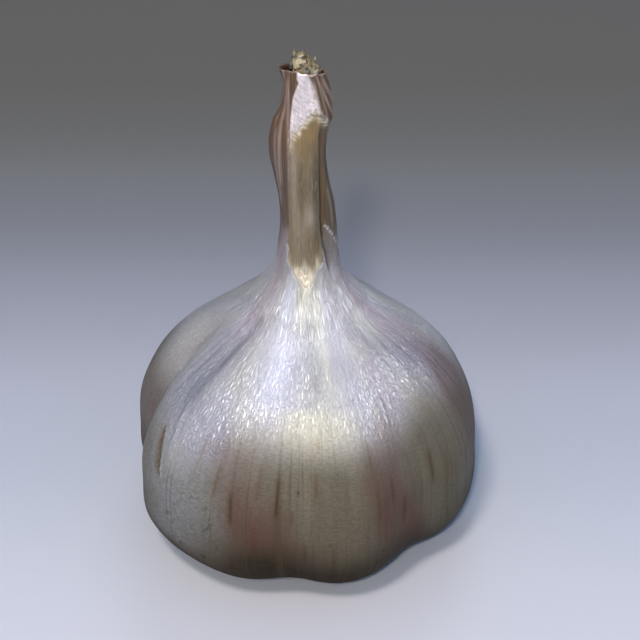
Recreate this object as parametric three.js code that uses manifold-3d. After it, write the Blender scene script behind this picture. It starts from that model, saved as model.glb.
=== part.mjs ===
// Garlic bulb with its dry neck, in millimetres, +Z up.
// The origin is in the resting face, under the middle of the root plate. -Y is the front.

import * as THREE from 'three';
import { mergeVertices } from 'three/addons/utils/BufferGeometryUtils.js';
import Module from 'manifold-3d';

const wasm = await Module();
wasm.setup();

// ---------- driving dimensions ----------

const SKIN_COLUMNS = 72;
const BODY_RINGS = 20;
const NECK_RINGS = 26;
const STEM_COLUMNS = 28;
const STEM_RINGS = 16;
const GAP = 0.3;

// Outline of the bulb without its cloves: radius and height.
const BULB_OUTLINE = [
  [10, 3.5], [14, 1.7], [19.5, 1.2], [26.1, 3.4], [29.7, 8.5], [29.95, 15], [29.4, 22],
  [26.5, 29], [21.9, 35], [16.3, 39.9], [11.3, 43.8], [9.4, 46],
];
const RECESS_ROOF = 3.6;

// Cloves swell the outline by a share of its radius, and seams draw it in.
const CLOVES = [
  { at: 22, swell: 0.014, spread: 22 },
  { at: 68, swell: 0.013, spread: 22 },
  { at: 112, swell: 0.016, spread: 22 },
  { at: 158, swell: 0.03, spread: 20 },
  { at: 214, swell: 0.046, spread: 22 },
  { at: 246, swell: 0.027, spread: 18 },
  { at: 286, swell: 0.027, spread: 18 },
  { at: 336, swell: 0.01, spread: 22 },
];
const SEAMS = [
  { at: 44, depth: 0.06, spread: 13 },
  { at: 91, depth: 0.085, spread: 12 },
  { at: 137, depth: 0.065, spread: 13 },
  { at: 188, depth: 0.14, spread: 10 },
  { at: 265, depth: 0.041, spread: 12 },
  { at: 311, depth: 0.057, spread: 13 },
];
const LOBES_START = 9;
const LOBES_FULL = 20;
const SEAM_LIFT = 22;
const LIFT_FROM = 1.5;
const LIFT_TO = 13;

// The neck's reach to each side of its axis at each height: [height, reach].
const NECK_LEFT = [
  [46, 9.4], [49, 6.9], [52, 5.3], [56, 4.45], [60, 4.0], [65, 4.2], [69, 4.9], [74, 5.65],
  [78.5, 5.2], [82, 3.7], [85, 3.15], [88, 3.9],
];
const NECK_RIGHT = [
  [46, 9.4], [49, 7.2], [52, 6.0], [56, 5.6], [60, 5.25], [64, 4.85], [68, 4.0], [73, 3.25],
  [77, 3.7], [81, 4.45], [85, 4.0], [88, 3.35],
];
const NECK_FRONT = [[46, 9.4], [49, 6.7], [52, 4.9], [56, 3.95], [60, 3.7], [78, 3.6], [84, 3.3], [88, 2.95]];
const NECK_BACK = [[46, 9.4], [49, 7.1], [52, 5.6], [56, 4.75], [62, 4.3], [70, 4.2], [80, 3.8], [88, 3.2]];
const NECK_TOP = 88;
const LEFT_WING_AT = 186;
const RIGHT_WING_AT = 356;
const WING_SPREAD_LOW = 62;
const WING_SPREAD_HIGH = 27;
const WINGS_NARROW_FROM = 49;
const WINGS_NARROW_TO = 62;
const RIGHT_CREASE = { at: 322, depth: 0.75, spread: 9, from: 50, full: 58, fade: 76, to: 81 };
const LEFT_CREASE = { at: 226, depth: 0.4, spread: 8, from: 54, full: 60, fade: 78, to: 84 };
const PLEATS = { count: 13, depth: 0.15, twist: 5, from: 52, full: 80, smooth: 262, width: 34 };
const MOUTH = { left: 3.25, right: 2.95, deep: 2.3, top: 91, shoulder: 87, floor: 83.5, taper: 0.68 };
const NECK_PLUG = 86;
// The rim stands higher in front and on the left, and is a little ragged.
const RIM_WAVES = [
  { count: 1, height: 0.72, phase: 130 },
  { count: 5, height: 0.1, phase: 220 },
  { count: 11, height: 0.1, phase: 180 },
];
const RIM_BLEND = 6;

// The dry stem inside the neck: radius at each height, and its broken end by angle.
const STEM_AXIS_X = 0.25;
const STEM_OUTLINE = [
  [46.6, 3.6], [49, 5.0], [50.5, 4.65], [52, 3.95], [56, 3.02], [60, 2.8], [70, 2.75], [78, 2.7],
  [83, 2.45], [86, 2.4], [88, 2.45],
];
const STEM_FOOT = 46;
const STEM_RIBS = { count: 5, share: 0.03 };
const STEM_FLAT = { share: 0.16, from: 78, to: 86 };
const BROKEN_END = [
  [0, 88.8], [35, 89.3], [62, 89.8], [85, 90.6], [108, 90.1], [135, 90.9], [160, 91.4],
  [186, 90.4], [215, 89.7], [245, 90.2], [270, 89.5], [300, 89.7], [330, 88.9], [360, 88.8],
];
const BROKEN_RADIUS = 1.95;
const BROKEN_MIDDLE = { across: 0.1, height: 90.0 };

// The torn window in the front of the neck skin: x and height, counter-clockwise from its foot.
const WINDOW = [
  [0.65, 50.3], [1.3, 51.2], [1.9, 53.2], [2.5, 53.6], [3.1, 55.0], [3.1, 66], [3.9, 68.5],
  [7, 69.5], [7, 78.2], [4.6, 79.2], [3.7, 79.3], [3.0, 80.8], [1.9, 82.3], [1.0, 81.2],
  [0.5, 81.3], [-0.3, 79.9], [-0.8, 79.7], [-1.3, 78.5], [-2.0, 78.2], [-2.3, 76.6], [-2.6, 75.0],
  [-2.5, 70], [-2.55, 60], [-2.95, 57.6], [-2.6, 56.4], [-2.8, 54.4], [-2.3, 53.6], [-1.8, 52.3],
  [-0.5, 51.3],
];
const WINDOW_BACK = -1.0;
const WINDOW_FRONT = -12;

// The root plate, with its trimmed roots round the edge.
const PLATE_RADIUS = 8.8;
const PLATE_TOP = 3.1;
const PLATE_EDGE = 0.5;
const PLATE_SIDES = 40;
const ROOT_RINGS = [
  { count: 18, start: 7.2, reach: 11.6, height: 1.75, thick: 0.55, turn: 0 },
  { count: 20, start: 7.0, reach: 10.9, height: 0.75, thick: 0.6, turn: 8 },
];
const ROOT_SIDES = 5;
const ROOT_SHORTEST = 0.45;
const ROOT_SWAY = 9;
const ROOT_SEED = 7;
const ROOT_TIP = 0.75;

// ---------- small helpers ----------

const RADIANS = Math.PI / 180;
const MERGE_DISTANCE = 1e-4;
const DRAW_STEP = 16807;
const DRAW_RANGE = 2147483647;

// Smooth step from 0 at low to 1 at high.
function ease(low, high, value) {
  const share = Math.min(Math.max((value - low) / (high - low), 0), 1);
  return share * share * (3 - 2 * share);
}

// Bell curve of an angle in degrees, 1 in the middle.
function bell(angle, spread) {
  const turned = ((angle + 540) % 360) - 180;
  return Math.exp(-((turned / spread) ** 2));
}

// A smooth curve through [height, value] rows, read at a height.
function reachAt(rows, height) {
  const last = rows.length - 1;
  const bounded = Math.min(Math.max(height, rows[0][0]), rows[last][0]);
  let row = 0;
  while (row < last - 1 && rows[row + 1][0] < bounded) row += 1;
  const before = rows[Math.max(row - 1, 0)];
  const low = rows[row];
  const high = rows[row + 1];
  const after = rows[Math.min(row + 2, last)];
  const span = high[0] - low[0];
  const lowSlope = (high[1] - before[1]) / (high[0] - before[0]);
  const highSlope = (after[1] - low[1]) / (after[0] - low[0]);
  const share = (bounded - low[0]) / span;
  const rise = high[1] - low[1];
  const bend = share * (1 - share);
  return low[1] + rise * share * share * (3 - 2 * share)
    + bend * ((1 - share) * lowSlope - share * highSlope) * span;
}

// A seeded sequence of numbers from 0 to 1.
function seeded(seed) {
  let state = seed;
  return () => {
    state = (state * DRAW_STEP) % DRAW_RANGE;
    return state / DRAW_RANGE;
  };
}

// A closed body through rings of points, each ring with the same count, ends closed to a point.
function loft(rings, foot, head) {
  const columns = rings[0].length;
  const places = [...rings.flat(), foot, head];
  const footIndex = rings.length * columns;
  const headIndex = footIndex + 1;
  const faces = [];
  for (let column = 0; column < columns; column += 1) {
    const next = (column + 1) % columns;
    const topRing = (rings.length - 1) * columns;
    faces.push(footIndex, next, column);
    faces.push(headIndex, topRing + column, topRing + next);
    for (let ring = 0; ring + 1 < rings.length; ring += 1) {
      const low = ring * columns;
      const high = low + columns;
      faces.push(low + column, low + next, high + next);
      faces.push(low + column, high + next, high + column);
    }
  }
  const geometry = new THREE.BufferGeometry();
  geometry.setAttribute('position', new THREE.Float32BufferAttribute(places.flat(), 3));
  geometry.setIndex(faces);
  return geometry;
}

function solidOf(geometry) {
  const bare = geometry.clone();
  bare.deleteAttribute('normal');
  bare.deleteAttribute('uv');
  const merged = mergeVertices(bare, MERGE_DISTANCE);
  return new wasm.Manifold(new wasm.Mesh({
    numProp: 3,
    vertProperties: new Float32Array(merged.attributes.position.array),
    triVerts: new Uint32Array(merged.index.array),
  }));
}

function geometryOf(solid) {
  const mesh = solid.getMesh();
  const geometry = new THREE.BufferGeometry();
  geometry.setAttribute('position', new THREE.BufferAttribute(new Float32Array(mesh.vertProperties), 3));
  geometry.setIndex(new THREE.BufferAttribute(new Uint32Array(mesh.triVerts), 1));
  geometry.computeVertexNormals();
  return geometry;
}

function named(name, geometry, colour, roughness) {
  const material = new THREE.MeshStandardMaterial({ color: colour, roughness, metalness: 0 });
  const mesh = new THREE.Mesh(geometry, material);
  mesh.name = name;
  return mesh;
}

// ---------- the bulb and its neck skin ----------

// A point on the cloves: the outline swollen by each clove and drawn in at each seam, where the
// underside also rises.
function clovePoint(angle, radius, height) {
  const strength = ease(LOBES_START, LOBES_FULL, radius);
  const under = 1 - ease(LIFT_FROM, LIFT_TO, height);
  let share = 1;
  let lift = 0;
  for (const clove of CLOVES) share += clove.swell * bell(angle - clove.at, clove.spread) * strength;
  for (const seam of SEAMS) {
    const drawn = seam.depth * bell(angle - seam.at, seam.spread) * strength;
    share -= drawn;
    lift += drawn * under * SEAM_LIFT;
  }
  const reach = radius * share;
  return [reach * Math.cos(angle * RADIANS), reach * Math.sin(angle * RADIANS), height + lift];
}

function creaseDepth(crease, angle, height) {
  const strength = ease(crease.from, crease.full, height) * (1 - ease(crease.fade, crease.to, height));
  return crease.depth * bell(angle - crease.at, crease.spread) * strength;
}

// The neck's radius: a mean of its front and back reach, with a flat wing out to each side, a crease
// beside each wing, and pleats that deepen towards the mouth except on its smooth front.
function neckRadius(angle, height) {
  const front = reachAt(NECK_FRONT, height);
  const back = reachAt(NECK_BACK, height);
  const round = front + (back - front) * (0.5 + 0.5 * Math.sin(angle * RADIANS));
  const narrowing = ease(WINGS_NARROW_FROM, WINGS_NARROW_TO, height);
  const spread = WING_SPREAD_LOW + (WING_SPREAD_HIGH - WING_SPREAD_LOW) * narrowing;
  const left = (reachAt(NECK_LEFT, height) - round) * bell(angle - LEFT_WING_AT, spread);
  const right = (reachAt(NECK_RIGHT, height) - round) * bell(angle - RIGHT_WING_AT, spread);
  const pleating = PLEATS.depth * ease(PLEATS.from, PLEATS.full, height)
    * (1 - bell(angle - PLEATS.smooth, PLEATS.width));
  const pleat = pleating * Math.cos((PLEATS.count * angle + PLEATS.twist * height) * RADIANS);
  const creases = creaseDepth(LEFT_CREASE, angle, height) + creaseDepth(RIGHT_CREASE, angle, height);
  return round + left + right + pleat - creases;
}

function rimRise(angle) {
  let rise = 0;
  for (const wave of RIM_WAVES) rise += wave.height * Math.cos((wave.count * angle + wave.phase) * RADIANS);
  return rise;
}

function neckPoint(angle, height) {
  const radius = neckRadius(angle, height);
  const nearTop = ease(NECK_TOP - RIM_BLEND, NECK_TOP, height);
  return [
    radius * Math.cos(angle * RADIANS),
    radius * Math.sin(angle * RADIANS),
    height + rimRise(angle) * nearTop,
  ];
}

function skinRings() {
  const outline = new THREE.SplineCurve(
    BULB_OUTLINE.map(([radius, height]) => new THREE.Vector2(radius, height)),
  );
  const angles = Array.from({ length: SKIN_COLUMNS }, (_, column) => (360 * column) / SKIN_COLUMNS);
  const rings = outline.getPoints(BODY_RINGS).map((place) => angles.map(
    (angle) => clovePoint(angle, place.x, place.y),
  ));
  const neckFoot = BULB_OUTLINE[BULB_OUTLINE.length - 1][1];
  for (let ring = 1; ring <= NECK_RINGS; ring += 1) {
    const height = neckFoot + ((NECK_TOP - neckFoot) * ring) / NECK_RINGS;
    rings.push(angles.map((angle) => neckPoint(angle, height)));
  }
  return rings;
}

// The hollow inside the mouth, narrowing downwards.
function mouthHollow() {
  const ring = (height, share) => Array.from({ length: STEM_COLUMNS }, (_, column) => {
    const angle = ((360 * column) / STEM_COLUMNS) * RADIANS;
    const across = Math.cos(angle) < 0 ? MOUTH.left : MOUTH.right;
    return [across * share * Math.cos(angle), MOUTH.deep * share * Math.sin(angle), height];
  });
  const rings = [ring(MOUTH.floor, MOUTH.taper), ring(MOUTH.shoulder, 1), ring(MOUTH.top, 1)];
  return loft(rings, [0, 0, MOUTH.floor], [0, 0, MOUTH.top]);
}

// The piece that the torn skin is missing, a prism along Y.
function windowPrism() {
  const outline = new THREE.Shape(WINDOW.map(([across, height]) => new THREE.Vector2(across, height)));
  const thickness = WINDOW_BACK - WINDOW_FRONT;
  const prism = new THREE.ExtrudeGeometry(outline, { depth: thickness, bevelEnabled: false });
  prism.rotateX(Math.PI / 2);
  prism.translate(0, WINDOW_BACK, 0);
  return prism;
}

// ---------- the dry stem ----------

// Rings of the stem grown outwards by a margin; its end is broken off unevenly.
function stemBody(margin) {
  const angles = Array.from({ length: STEM_COLUMNS }, (_, column) => (360 * column) / STEM_COLUMNS);
  const foot = STEM_OUTLINE[0][0];
  const head = STEM_OUTLINE[STEM_OUTLINE.length - 1][0];
  const place = (angle, radius, height) => {
    const ribbed = radius * (1 + STEM_RIBS.share * Math.cos(STEM_RIBS.count * angle * RADIANS));
    const flat = 1 - STEM_FLAT.share * ease(STEM_FLAT.from, STEM_FLAT.to, height);
    return [
      STEM_AXIS_X + (ribbed + margin) * Math.cos(angle * RADIANS),
      (ribbed * flat + margin) * Math.sin(angle * RADIANS),
      height,
    ];
  };
  const rings = [];
  for (let ring = 0; ring <= STEM_RINGS; ring += 1) {
    const height = foot + ((head - foot) * ring) / STEM_RINGS;
    const lowered = ring === 0 ? height - margin : height;
    rings.push(angles.map((angle) => place(angle, reachAt(STEM_OUTLINE, height), lowered)));
  }
  rings.push(angles.map((angle) => place(angle, BROKEN_RADIUS, reachAt(BROKEN_END, angle) + margin)));
  const middle = [BROKEN_MIDDLE.across, 0, BROKEN_MIDDLE.height + margin];
  return loft(rings, [STEM_AXIS_X, 0, STEM_FOOT - margin], middle);
}

// ---------- the root plate ----------

function rootStub(angle, start, reach, height, thick) {
  const stub = new THREE.CylinderGeometry(thick * ROOT_TIP, thick, reach - start, ROOT_SIDES);
  stub.rotateZ(-Math.PI / 2);
  stub.translate((start + reach) / 2, 0, height);
  stub.rotateZ(angle * RADIANS);
  return stub;
}

function rootPlate() {
  const profile = [
    new THREE.Vector2(0, 0),
    new THREE.Vector2(PLATE_RADIUS - PLATE_EDGE, 0),
    new THREE.Vector2(PLATE_RADIUS, PLATE_EDGE),
    new THREE.Vector2(PLATE_RADIUS - PLATE_EDGE, PLATE_TOP),
    new THREE.Vector2(0, PLATE_TOP),
  ];
  const disc = new THREE.LatheGeometry(profile, PLATE_SIDES);
  disc.rotateX(Math.PI / 2);
  let plate = solidOf(disc);
  const draw = seeded(ROOT_SEED);
  for (const ring of ROOT_RINGS) {
    for (let root = 0; root < ring.count; root += 1) {
      const angle = (360 * root) / ring.count + ring.turn + ROOT_SWAY * (draw() - 0.5);
      const length = (ring.reach - PLATE_RADIUS) * (ROOT_SHORTEST + (1 - ROOT_SHORTEST) * draw());
      const stub = rootStub(angle, ring.start, PLATE_RADIUS + length, ring.height, ring.thick);
      plate = plate.add(solidOf(stub));
    }
  }
  return plate;
}

// ---------- the garlic bulb ----------

const skin = solidOf(loft(skinRings(), [0, 0, RECESS_ROOF], [0, 0, NECK_PLUG]));
const openings = solidOf(mouthHollow()).add(solidOf(windowPrism())).add(solidOf(stemBody(GAP)));
const bulb = skin.subtract(openings);

const garlic = new THREE.Group();
garlic.add(named('bulb', geometryOf(bulb), 0xd9d3d6, 0.38));
garlic.add(named('stem', stemBody(0), 0x9a8b6a, 0.6));
garlic.add(named('root_plate', geometryOf(rootPlate()), 0x8d7a5c, 0.8));

export default garlic;
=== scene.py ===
"""Garlic bulb with a dry neck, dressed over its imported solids.

Shapes are worked out in millimetres and put into the meshes in metres. +Z is up and -Y is the front.
Angles are in degrees round +Z, from 0 at +X: 90 is the back, 180 the left and 270 the front.
"""

import math

import bpy
import numpy as np
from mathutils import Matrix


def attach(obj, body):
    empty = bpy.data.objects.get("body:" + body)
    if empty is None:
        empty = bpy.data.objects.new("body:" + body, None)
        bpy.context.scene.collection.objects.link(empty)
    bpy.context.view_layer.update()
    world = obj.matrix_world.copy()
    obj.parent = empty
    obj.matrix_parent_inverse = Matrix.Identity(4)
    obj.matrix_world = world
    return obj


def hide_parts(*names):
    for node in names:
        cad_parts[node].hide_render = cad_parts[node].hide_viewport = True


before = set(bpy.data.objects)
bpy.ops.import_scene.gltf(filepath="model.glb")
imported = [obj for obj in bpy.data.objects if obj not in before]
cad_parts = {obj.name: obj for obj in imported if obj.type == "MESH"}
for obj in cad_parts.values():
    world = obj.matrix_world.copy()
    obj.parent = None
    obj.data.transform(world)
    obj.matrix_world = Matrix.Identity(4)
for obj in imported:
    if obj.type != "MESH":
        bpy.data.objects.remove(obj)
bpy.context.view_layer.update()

MM = 0.001
TURN = 360.0

# ---------- camera ----------

CAMERA_PLACE = (2.53, -254.41, 218.28)
CAMERA_PITCH = 35.0
CAMERA_FIELD = 20.0
CLIP_NEAR, CLIP_FAR = 0.01, 20.0
SENSOR = 36.0


def put_in_scene(name, data):
    """A new object at the origin, linked to the scene."""
    made = bpy.data.objects.new(name, data)
    bpy.context.scene.collection.objects.link(made)
    return made


def aim_camera():
    """Camera looking along +Y and down by its pitch. Its focal length is half the sensor divided by the
    tangent of half its field."""
    lens = bpy.data.cameras.new("studio_camera")
    lens.sensor_width = SENSOR
    lens.lens = SENSOR / 2 / math.tan(math.radians(CAMERA_FIELD / 2))
    lens.clip_start, lens.clip_end = CLIP_NEAR, CLIP_FAR
    camera = put_in_scene("studio_camera", lens)
    camera.location = [MM * along for along in CAMERA_PLACE]
    camera.rotation_euler = (math.radians(90 - CAMERA_PITCH), 0, 0)
    bpy.context.scene.camera = camera


aim_camera()

# ---------- sizes of the bulb, the same as its solids ----------

BULB_OUTLINE = np.array([
    [10, 3.5], [14, 1.7], [19.5, 1.2], [26.1, 3.4], [29.7, 8.5], [29.95, 15], [29.4, 22],
    [26.5, 29], [21.9, 35], [16.3, 39.9], [11.3, 43.8], [9.4, 46],
])
RECESS_ROOF = 3.6
NECK_FOOT = 46.0
NECK_TOP = 88.0

CLOVES = [  # angle, swell, spread
    (22, 0.014, 22), (68, 0.013, 22), (112, 0.016, 22), (158, 0.03, 20),
    (214, 0.046, 22), (246, 0.027, 18), (286, 0.027, 18), (336, 0.01, 22),
]
SEAMS = [  # angle, depth, spread
    (44, 0.06, 13), (91, 0.085, 12), (137, 0.065, 13), (188, 0.14, 10), (265, 0.041, 12), (311, 0.057, 13),
]
LOBES_START, LOBES_FULL = 9.0, 20.0
SEAM_LIFT, LIFT_FROM, LIFT_TO = 22.0, 1.5, 13.0

NECK_LEFT = [
    (46, 9.4), (49, 6.9), (52, 5.3), (56, 4.45), (60, 4.0), (65, 4.2), (69, 4.9), (74, 5.65),
    (78.5, 5.2), (82, 3.7), (85, 3.15), (88, 3.9),
]
NECK_RIGHT = [
    (46, 9.4), (49, 7.2), (52, 6.0), (56, 5.6), (60, 5.25), (64, 4.85), (68, 4.0), (73, 3.25),
    (77, 3.7), (81, 4.45), (85, 4.0), (88, 3.35),
]
NECK_FRONT = [(46, 9.4), (49, 6.7), (52, 4.9), (56, 3.95), (60, 3.7), (78, 3.6), (84, 3.3), (88, 2.95)]
NECK_BACK = [(46, 9.4), (49, 7.1), (52, 5.6), (56, 4.75), (62, 4.3), (70, 4.2), (80, 3.8), (88, 3.2)]
LEFT_WING_AT, RIGHT_WING_AT = 186.0, 356.0
WING_SPREAD_LOW, WING_SPREAD_HIGH = 62.0, 27.0
WINGS_NARROW_FROM, WINGS_NARROW_TO = 49.0, 62.0
CREASES = [  # angle, depth, spread, from, full, fade, to
    (322, 0.75, 9, 50, 58, 76, 81), (226, 0.4, 8, 54, 60, 78, 84),
]
RIM_WAVES = [(1, 0.72, 130), (5, 0.1, 220), (11, 0.1, 180)]  # count, height, phase
RIM_BLEND = 6.0

WINDOW = np.array([
    [0.65, 50.3], [1.3, 51.2], [1.9, 53.2], [2.5, 53.6], [3.1, 55.0], [3.1, 66], [3.9, 68.5],
    [7, 69.5], [7, 78.2], [4.6, 79.2], [3.7, 79.3], [3.0, 80.8], [1.9, 82.3], [1.0, 81.2],
    [0.5, 81.3], [-0.3, 79.9], [-0.8, 79.7], [-1.3, 78.5], [-2.0, 78.2], [-2.3, 76.6], [-2.6, 75.0],
    [-2.5, 70], [-2.55, 60], [-2.95, 57.6], [-2.6, 56.4], [-2.8, 54.4], [-2.3, 53.6], [-1.8, 52.3],
    [-0.5, 51.3],
])
WINDOW_BACK = -1.0

STEM_AXIS_X = 0.25
STEM_OUTLINE = [
    (46.6, 3.6), (49, 5.0), (50.5, 4.65), (52, 3.95), (56, 3.02), (60, 2.8), (70, 2.75), (78, 2.7),
    (83, 2.45), (86, 2.4), (88, 2.45),
]
STEM_RIBS, STEM_RIB_SHARE = 5, 0.03
STEM_FLAT, STEM_FLAT_FROM, STEM_FLAT_TO = 0.16, 78.0, 86.0

# ---------- curves and noise ----------


def ease(low, high, value):
    """Smooth step from 0 at low to 1 at high."""
    share = np.clip((value - low) / (high - low), 0, 1)
    return share * share * (3 - 2 * share)


def span(height, start, full, fade, stop):
    """Smooth band: up from 0 at start to 1 at full, and down from 1 at fade to 0 at stop."""
    return ease(start, full, height) * (1 - ease(fade, stop, height))


def hump(value, middle, width):
    """Bell curve along a line: e to the power of minus the square of the distance over the width."""
    return np.exp(-(((value - middle) / width) ** 2))


def bell(angle, spread):
    """Bell curve of an angle, 1 at 0, the same on every turn."""
    return hump(np.mod(angle + TURN / 2, TURN), TURN / 2, spread)


def bells(angle, rows):
    """Sum of bell curves. Rows: angle, strength, spread."""
    return sum(strength * bell(angle - at, spread) for at, strength, spread in rows)


def bands(angle, height, rows):
    """Sum of upright bands. Rows: angle, strength, spread, start, full, fade, stop."""
    return sum(strength * bell(angle - at, spread) * span(height, *ends)
               for at, strength, spread, *ends in rows)


def clouds(angle, height, rows):
    """Sum of soft patches, kept from 0 to 1. Rows: angle, height, half angle, half height, strength."""
    total = sum(strength * bell(angle - at, half_angle) * hump(height, level, half_height)
                for at, level, half_angle, half_height, strength in rows)
    return np.clip(total, 0, 1)


def along_line(rows, height):
    """Straight lines through (height, value) rows, the highest row first."""
    rows = np.asarray(rows, float)[::-1]
    return np.interp(height, rows[:, 0], rows[:, 1])


def stroke(angle, height, radius, rows, half):
    """How near a point is to the nearest of some upright strokes: their strength on the middle line, fading
    to 0 past a half width and past the top and foot. Rows: top angle, foot angle, top, foot, strength."""
    near = np.zeros(np.broadcast(angle, height).shape)
    for top_angle, foot_angle, top, foot, strength in rows:
        share = np.clip((top - height) / (top - foot), 0, 1)
        aside = np.radians(angle - (top_angle + (foot_angle - top_angle) * share)) * radius
        ends = foot - STROKE_FADE, foot + 2 * STROKE_FADE, top - 2 * STROKE_FADE, top + STROKE_FADE
        near = np.maximum(near, strength * hump(aside, 0, half) * span(height, *ends))
    return near


def reach_at(rows, height):
    """Smooth curve through (height, value) rows: a cubic in each span, with slopes from its neighbours."""
    rows = np.asarray(rows, float)
    last = len(rows) - 1
    height = np.clip(height, rows[0, 0], rows[last, 0])
    low = np.clip(np.searchsorted(rows[:, 0], height, side="right") - 1, 0, last - 1)
    before, after = np.maximum(low - 1, 0), np.minimum(low + 2, last)
    length = rows[low + 1, 0] - rows[low, 0]
    rise = rows[low + 1, 1] - rows[low, 1]
    low_slope = (rows[low + 1, 1] - rows[before, 1]) / (rows[low + 1, 0] - rows[before, 0])
    high_slope = (rows[after, 1] - rows[low, 1]) / (rows[after, 0] - rows[low, 0])
    share = (height - rows[low, 0]) / length
    bend = share * (1 - share)
    straight = rows[low, 1] + rise * share * share * (3 - 2 * share)
    return straight + bend * ((1 - share) * low_slope - share * high_slope) * length


def spline(points, steps):
    """Uniform Catmull-Rom curve through the points, the end points doubled."""
    padded = np.vstack([points[:1], points, points[-1:]])
    share = (np.arange(steps) / steps)[:, None]
    pieces = []
    for first in range(len(points) - 1):
        before, low, high, after = padded[first:first + 4]
        pieces.append(0.5 * (
            2 * low + (high - before) * share + (2 * before - 5 * low + 4 * high - after) * share ** 2
            + (3 * low - before - 3 * high + after) * share ** 3
        ))
    return np.vstack([*pieces, points[-1:]])


def patches(seed, angle, along, round_count, patch_length):
    """Smooth noise from -1 to 1 over angle and length: random values on a grid of patches, which closes
    round the turn, blended by smooth steps."""
    draw = np.random.default_rng(seed)
    across = np.mod(angle, TURN) / TURN * round_count
    down = (along - np.min(along)) / patch_length
    values = draw.uniform(-1, 1, (round_count, int(np.max(down)) + 3))
    column, row = np.floor(across).astype(int), np.floor(down).astype(int)
    x, y = across - column, down - row
    x, y = x * x * (3 - 2 * x), y * y * (3 - 2 * y)
    column, beside = column % round_count, (column + 1) % round_count
    near = values[column, row] * (1 - x) + values[beside, row] * x
    far = values[column, row + 1] * (1 - x) + values[beside, row + 1] * x
    return near * (1 - y) + far * y


def ridges(seed, angle, along, round_count, patch_length):
    """Thin raised lines where smooth noise passes zero."""
    return 1 - 2 * np.abs(patches(seed, angle, along, round_count, patch_length)) ** 0.7


def distance_inside(outline, across, height):
    """Distance from the edge of a closed outline, positive inside it and negative outside."""
    place = np.stack([across, height], -1)[..., None, :]
    start, stop = outline, np.roll(outline, -1, axis=0)
    side = stop - start
    share = np.clip(((place - start) * side).sum(-1) / (side ** 2).sum(-1), 0, 1)
    nearest = np.linalg.norm(place - (start + share[..., None] * side), axis=-1).min(-1)
    crosses = (start[:, 1] > place[..., 1]) != (stop[:, 1] > place[..., 1])
    rise = np.where(side[:, 1] == 0, 1, side[:, 1])
    at = start[:, 0] + (place[..., 1] - start[:, 1]) / rise * side[:, 0]
    inside = (crosses & (place[..., 0] < at)).sum(-1) % 2 == 1
    return np.where(inside, nearest, -nearest)


def turned(radius, angle, height):
    """Points at a radius and an angle round +Z, at a height."""
    turn = np.radians(angle)
    return np.stack(np.broadcast_arrays(radius * np.cos(turn), radius * np.sin(turn), height), -1)


def bearing(x, y):
    """Angle round +Z, from 0 to a full turn."""
    return np.mod(np.degrees(np.arctan2(y, x)), TURN)


# ---------- putting surfaces into meshes ----------


def grid_quads(row_starts, columns):
    """Quads between rows of a closed tube; each row starts at its own vertex number."""
    column = np.arange(columns)
    beside = (column + 1) % columns
    low, high = np.asarray(row_starts[:-1])[:, None], np.asarray(row_starts[1:])[:, None]
    return np.stack([low + column, low + beside, high + beside, high + column], -1).reshape(-1, 4)


def fan(row_start, columns, tip, upwards):
    """Triangles from a row to one tip."""
    column = np.arange(columns)
    beside = (column + 1) % columns
    ends = (row_start + column, row_start + beside) if upwards else (row_start + beside, row_start + column)
    return np.stack([ends[0], ends[1], np.full(columns, tip)], -1)


def halving_band(fine_start, coarse_start, coarse_columns):
    """Triangles that join a row to one with half its columns."""
    column = np.arange(coarse_columns)
    beside = (column + 1) % coarse_columns
    first, middle = fine_start + 2 * column, fine_start + 2 * column + 1
    last = fine_start + (2 * column + 2) % (2 * coarse_columns)
    return np.concatenate([
        np.stack([first, middle, coarse_start + column], -1),
        np.stack([middle, coarse_start + beside, coarse_start + column], -1),
        np.stack([middle, last, coarse_start + beside], -1),
    ])


def surface_normals(surface):
    """Unit normals of a closed tube of points, from its central differences."""
    round_step = np.roll(surface, -1, axis=0) - np.roll(surface, 1, axis=0)
    up_step = np.gradient(surface, axis=1)
    normal = np.cross(round_step, up_step)
    return normal / (np.linalg.norm(normal, axis=-1, keepdims=True) + 1e-12)


def tube_faces(first, rows, columns):
    """Faces of one tube of rows numbered from first, closed by a fan at its foot and one at its tip. The
    two end points are numbered after the rows."""
    starts = first + np.arange(rows) * columns
    foot = first + rows * columns
    ends = [fan(first, columns, foot, upwards=False), fan(starts[-1], columns, foot + 1, upwards=True)]
    return grid_quads(starts, columns).tolist() + np.concatenate(ends).tolist()


def closed_tubes(rings, ends, first=0):
    """Places and faces of separate closed tubes, from rings of points and two end points for each tube."""
    count, rows, columns = rings.shape[:3]
    places = np.concatenate([rings.reshape(count, -1, 3), ends], axis=1)
    faces = [face for at in range(count) for face in tube_faces(first + at * places.shape[1], rows, columns)]
    return places.reshape(-1, 3), faces


def ring_values(values):
    """Values of a (column, row) grid row after row, then the first and the last for the two end points."""
    joined = values.swapaxes(0, 1).reshape(-1, *values.shape[2:])
    return np.concatenate([joined, joined[:1], joined[-1:]])


def make_piece(name, places, faces, marks, material, node):
    """Puts a surface in millimetres into a mesh in metres, with its marks, and dresses a solid with it."""
    mesh = bpy.data.meshes.new(name)
    mesh.from_pydata((places * MM).tolist(), [], faces)
    for mark, values in marks.items():
        kind, field = ("FLOAT_VECTOR", "vector") if values.ndim == 2 else ("FLOAT", "value")
        mesh.attributes.new(mark, kind, "POINT").data.foreach_set(field, values.astype(np.float32).ravel())
    mesh.polygons.foreach_set("use_smooth", np.ones(len(mesh.polygons), bool))
    mesh.update()
    mesh.materials.append(material)
    piece = put_in_scene(name, mesh)
    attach(piece, "root")
    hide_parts(node)


# ---------- materials ----------

WRINKLE_GRAIN, WRINKLE_LEAN = (3.6, 3.6, 10), math.radians(-28)


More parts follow.
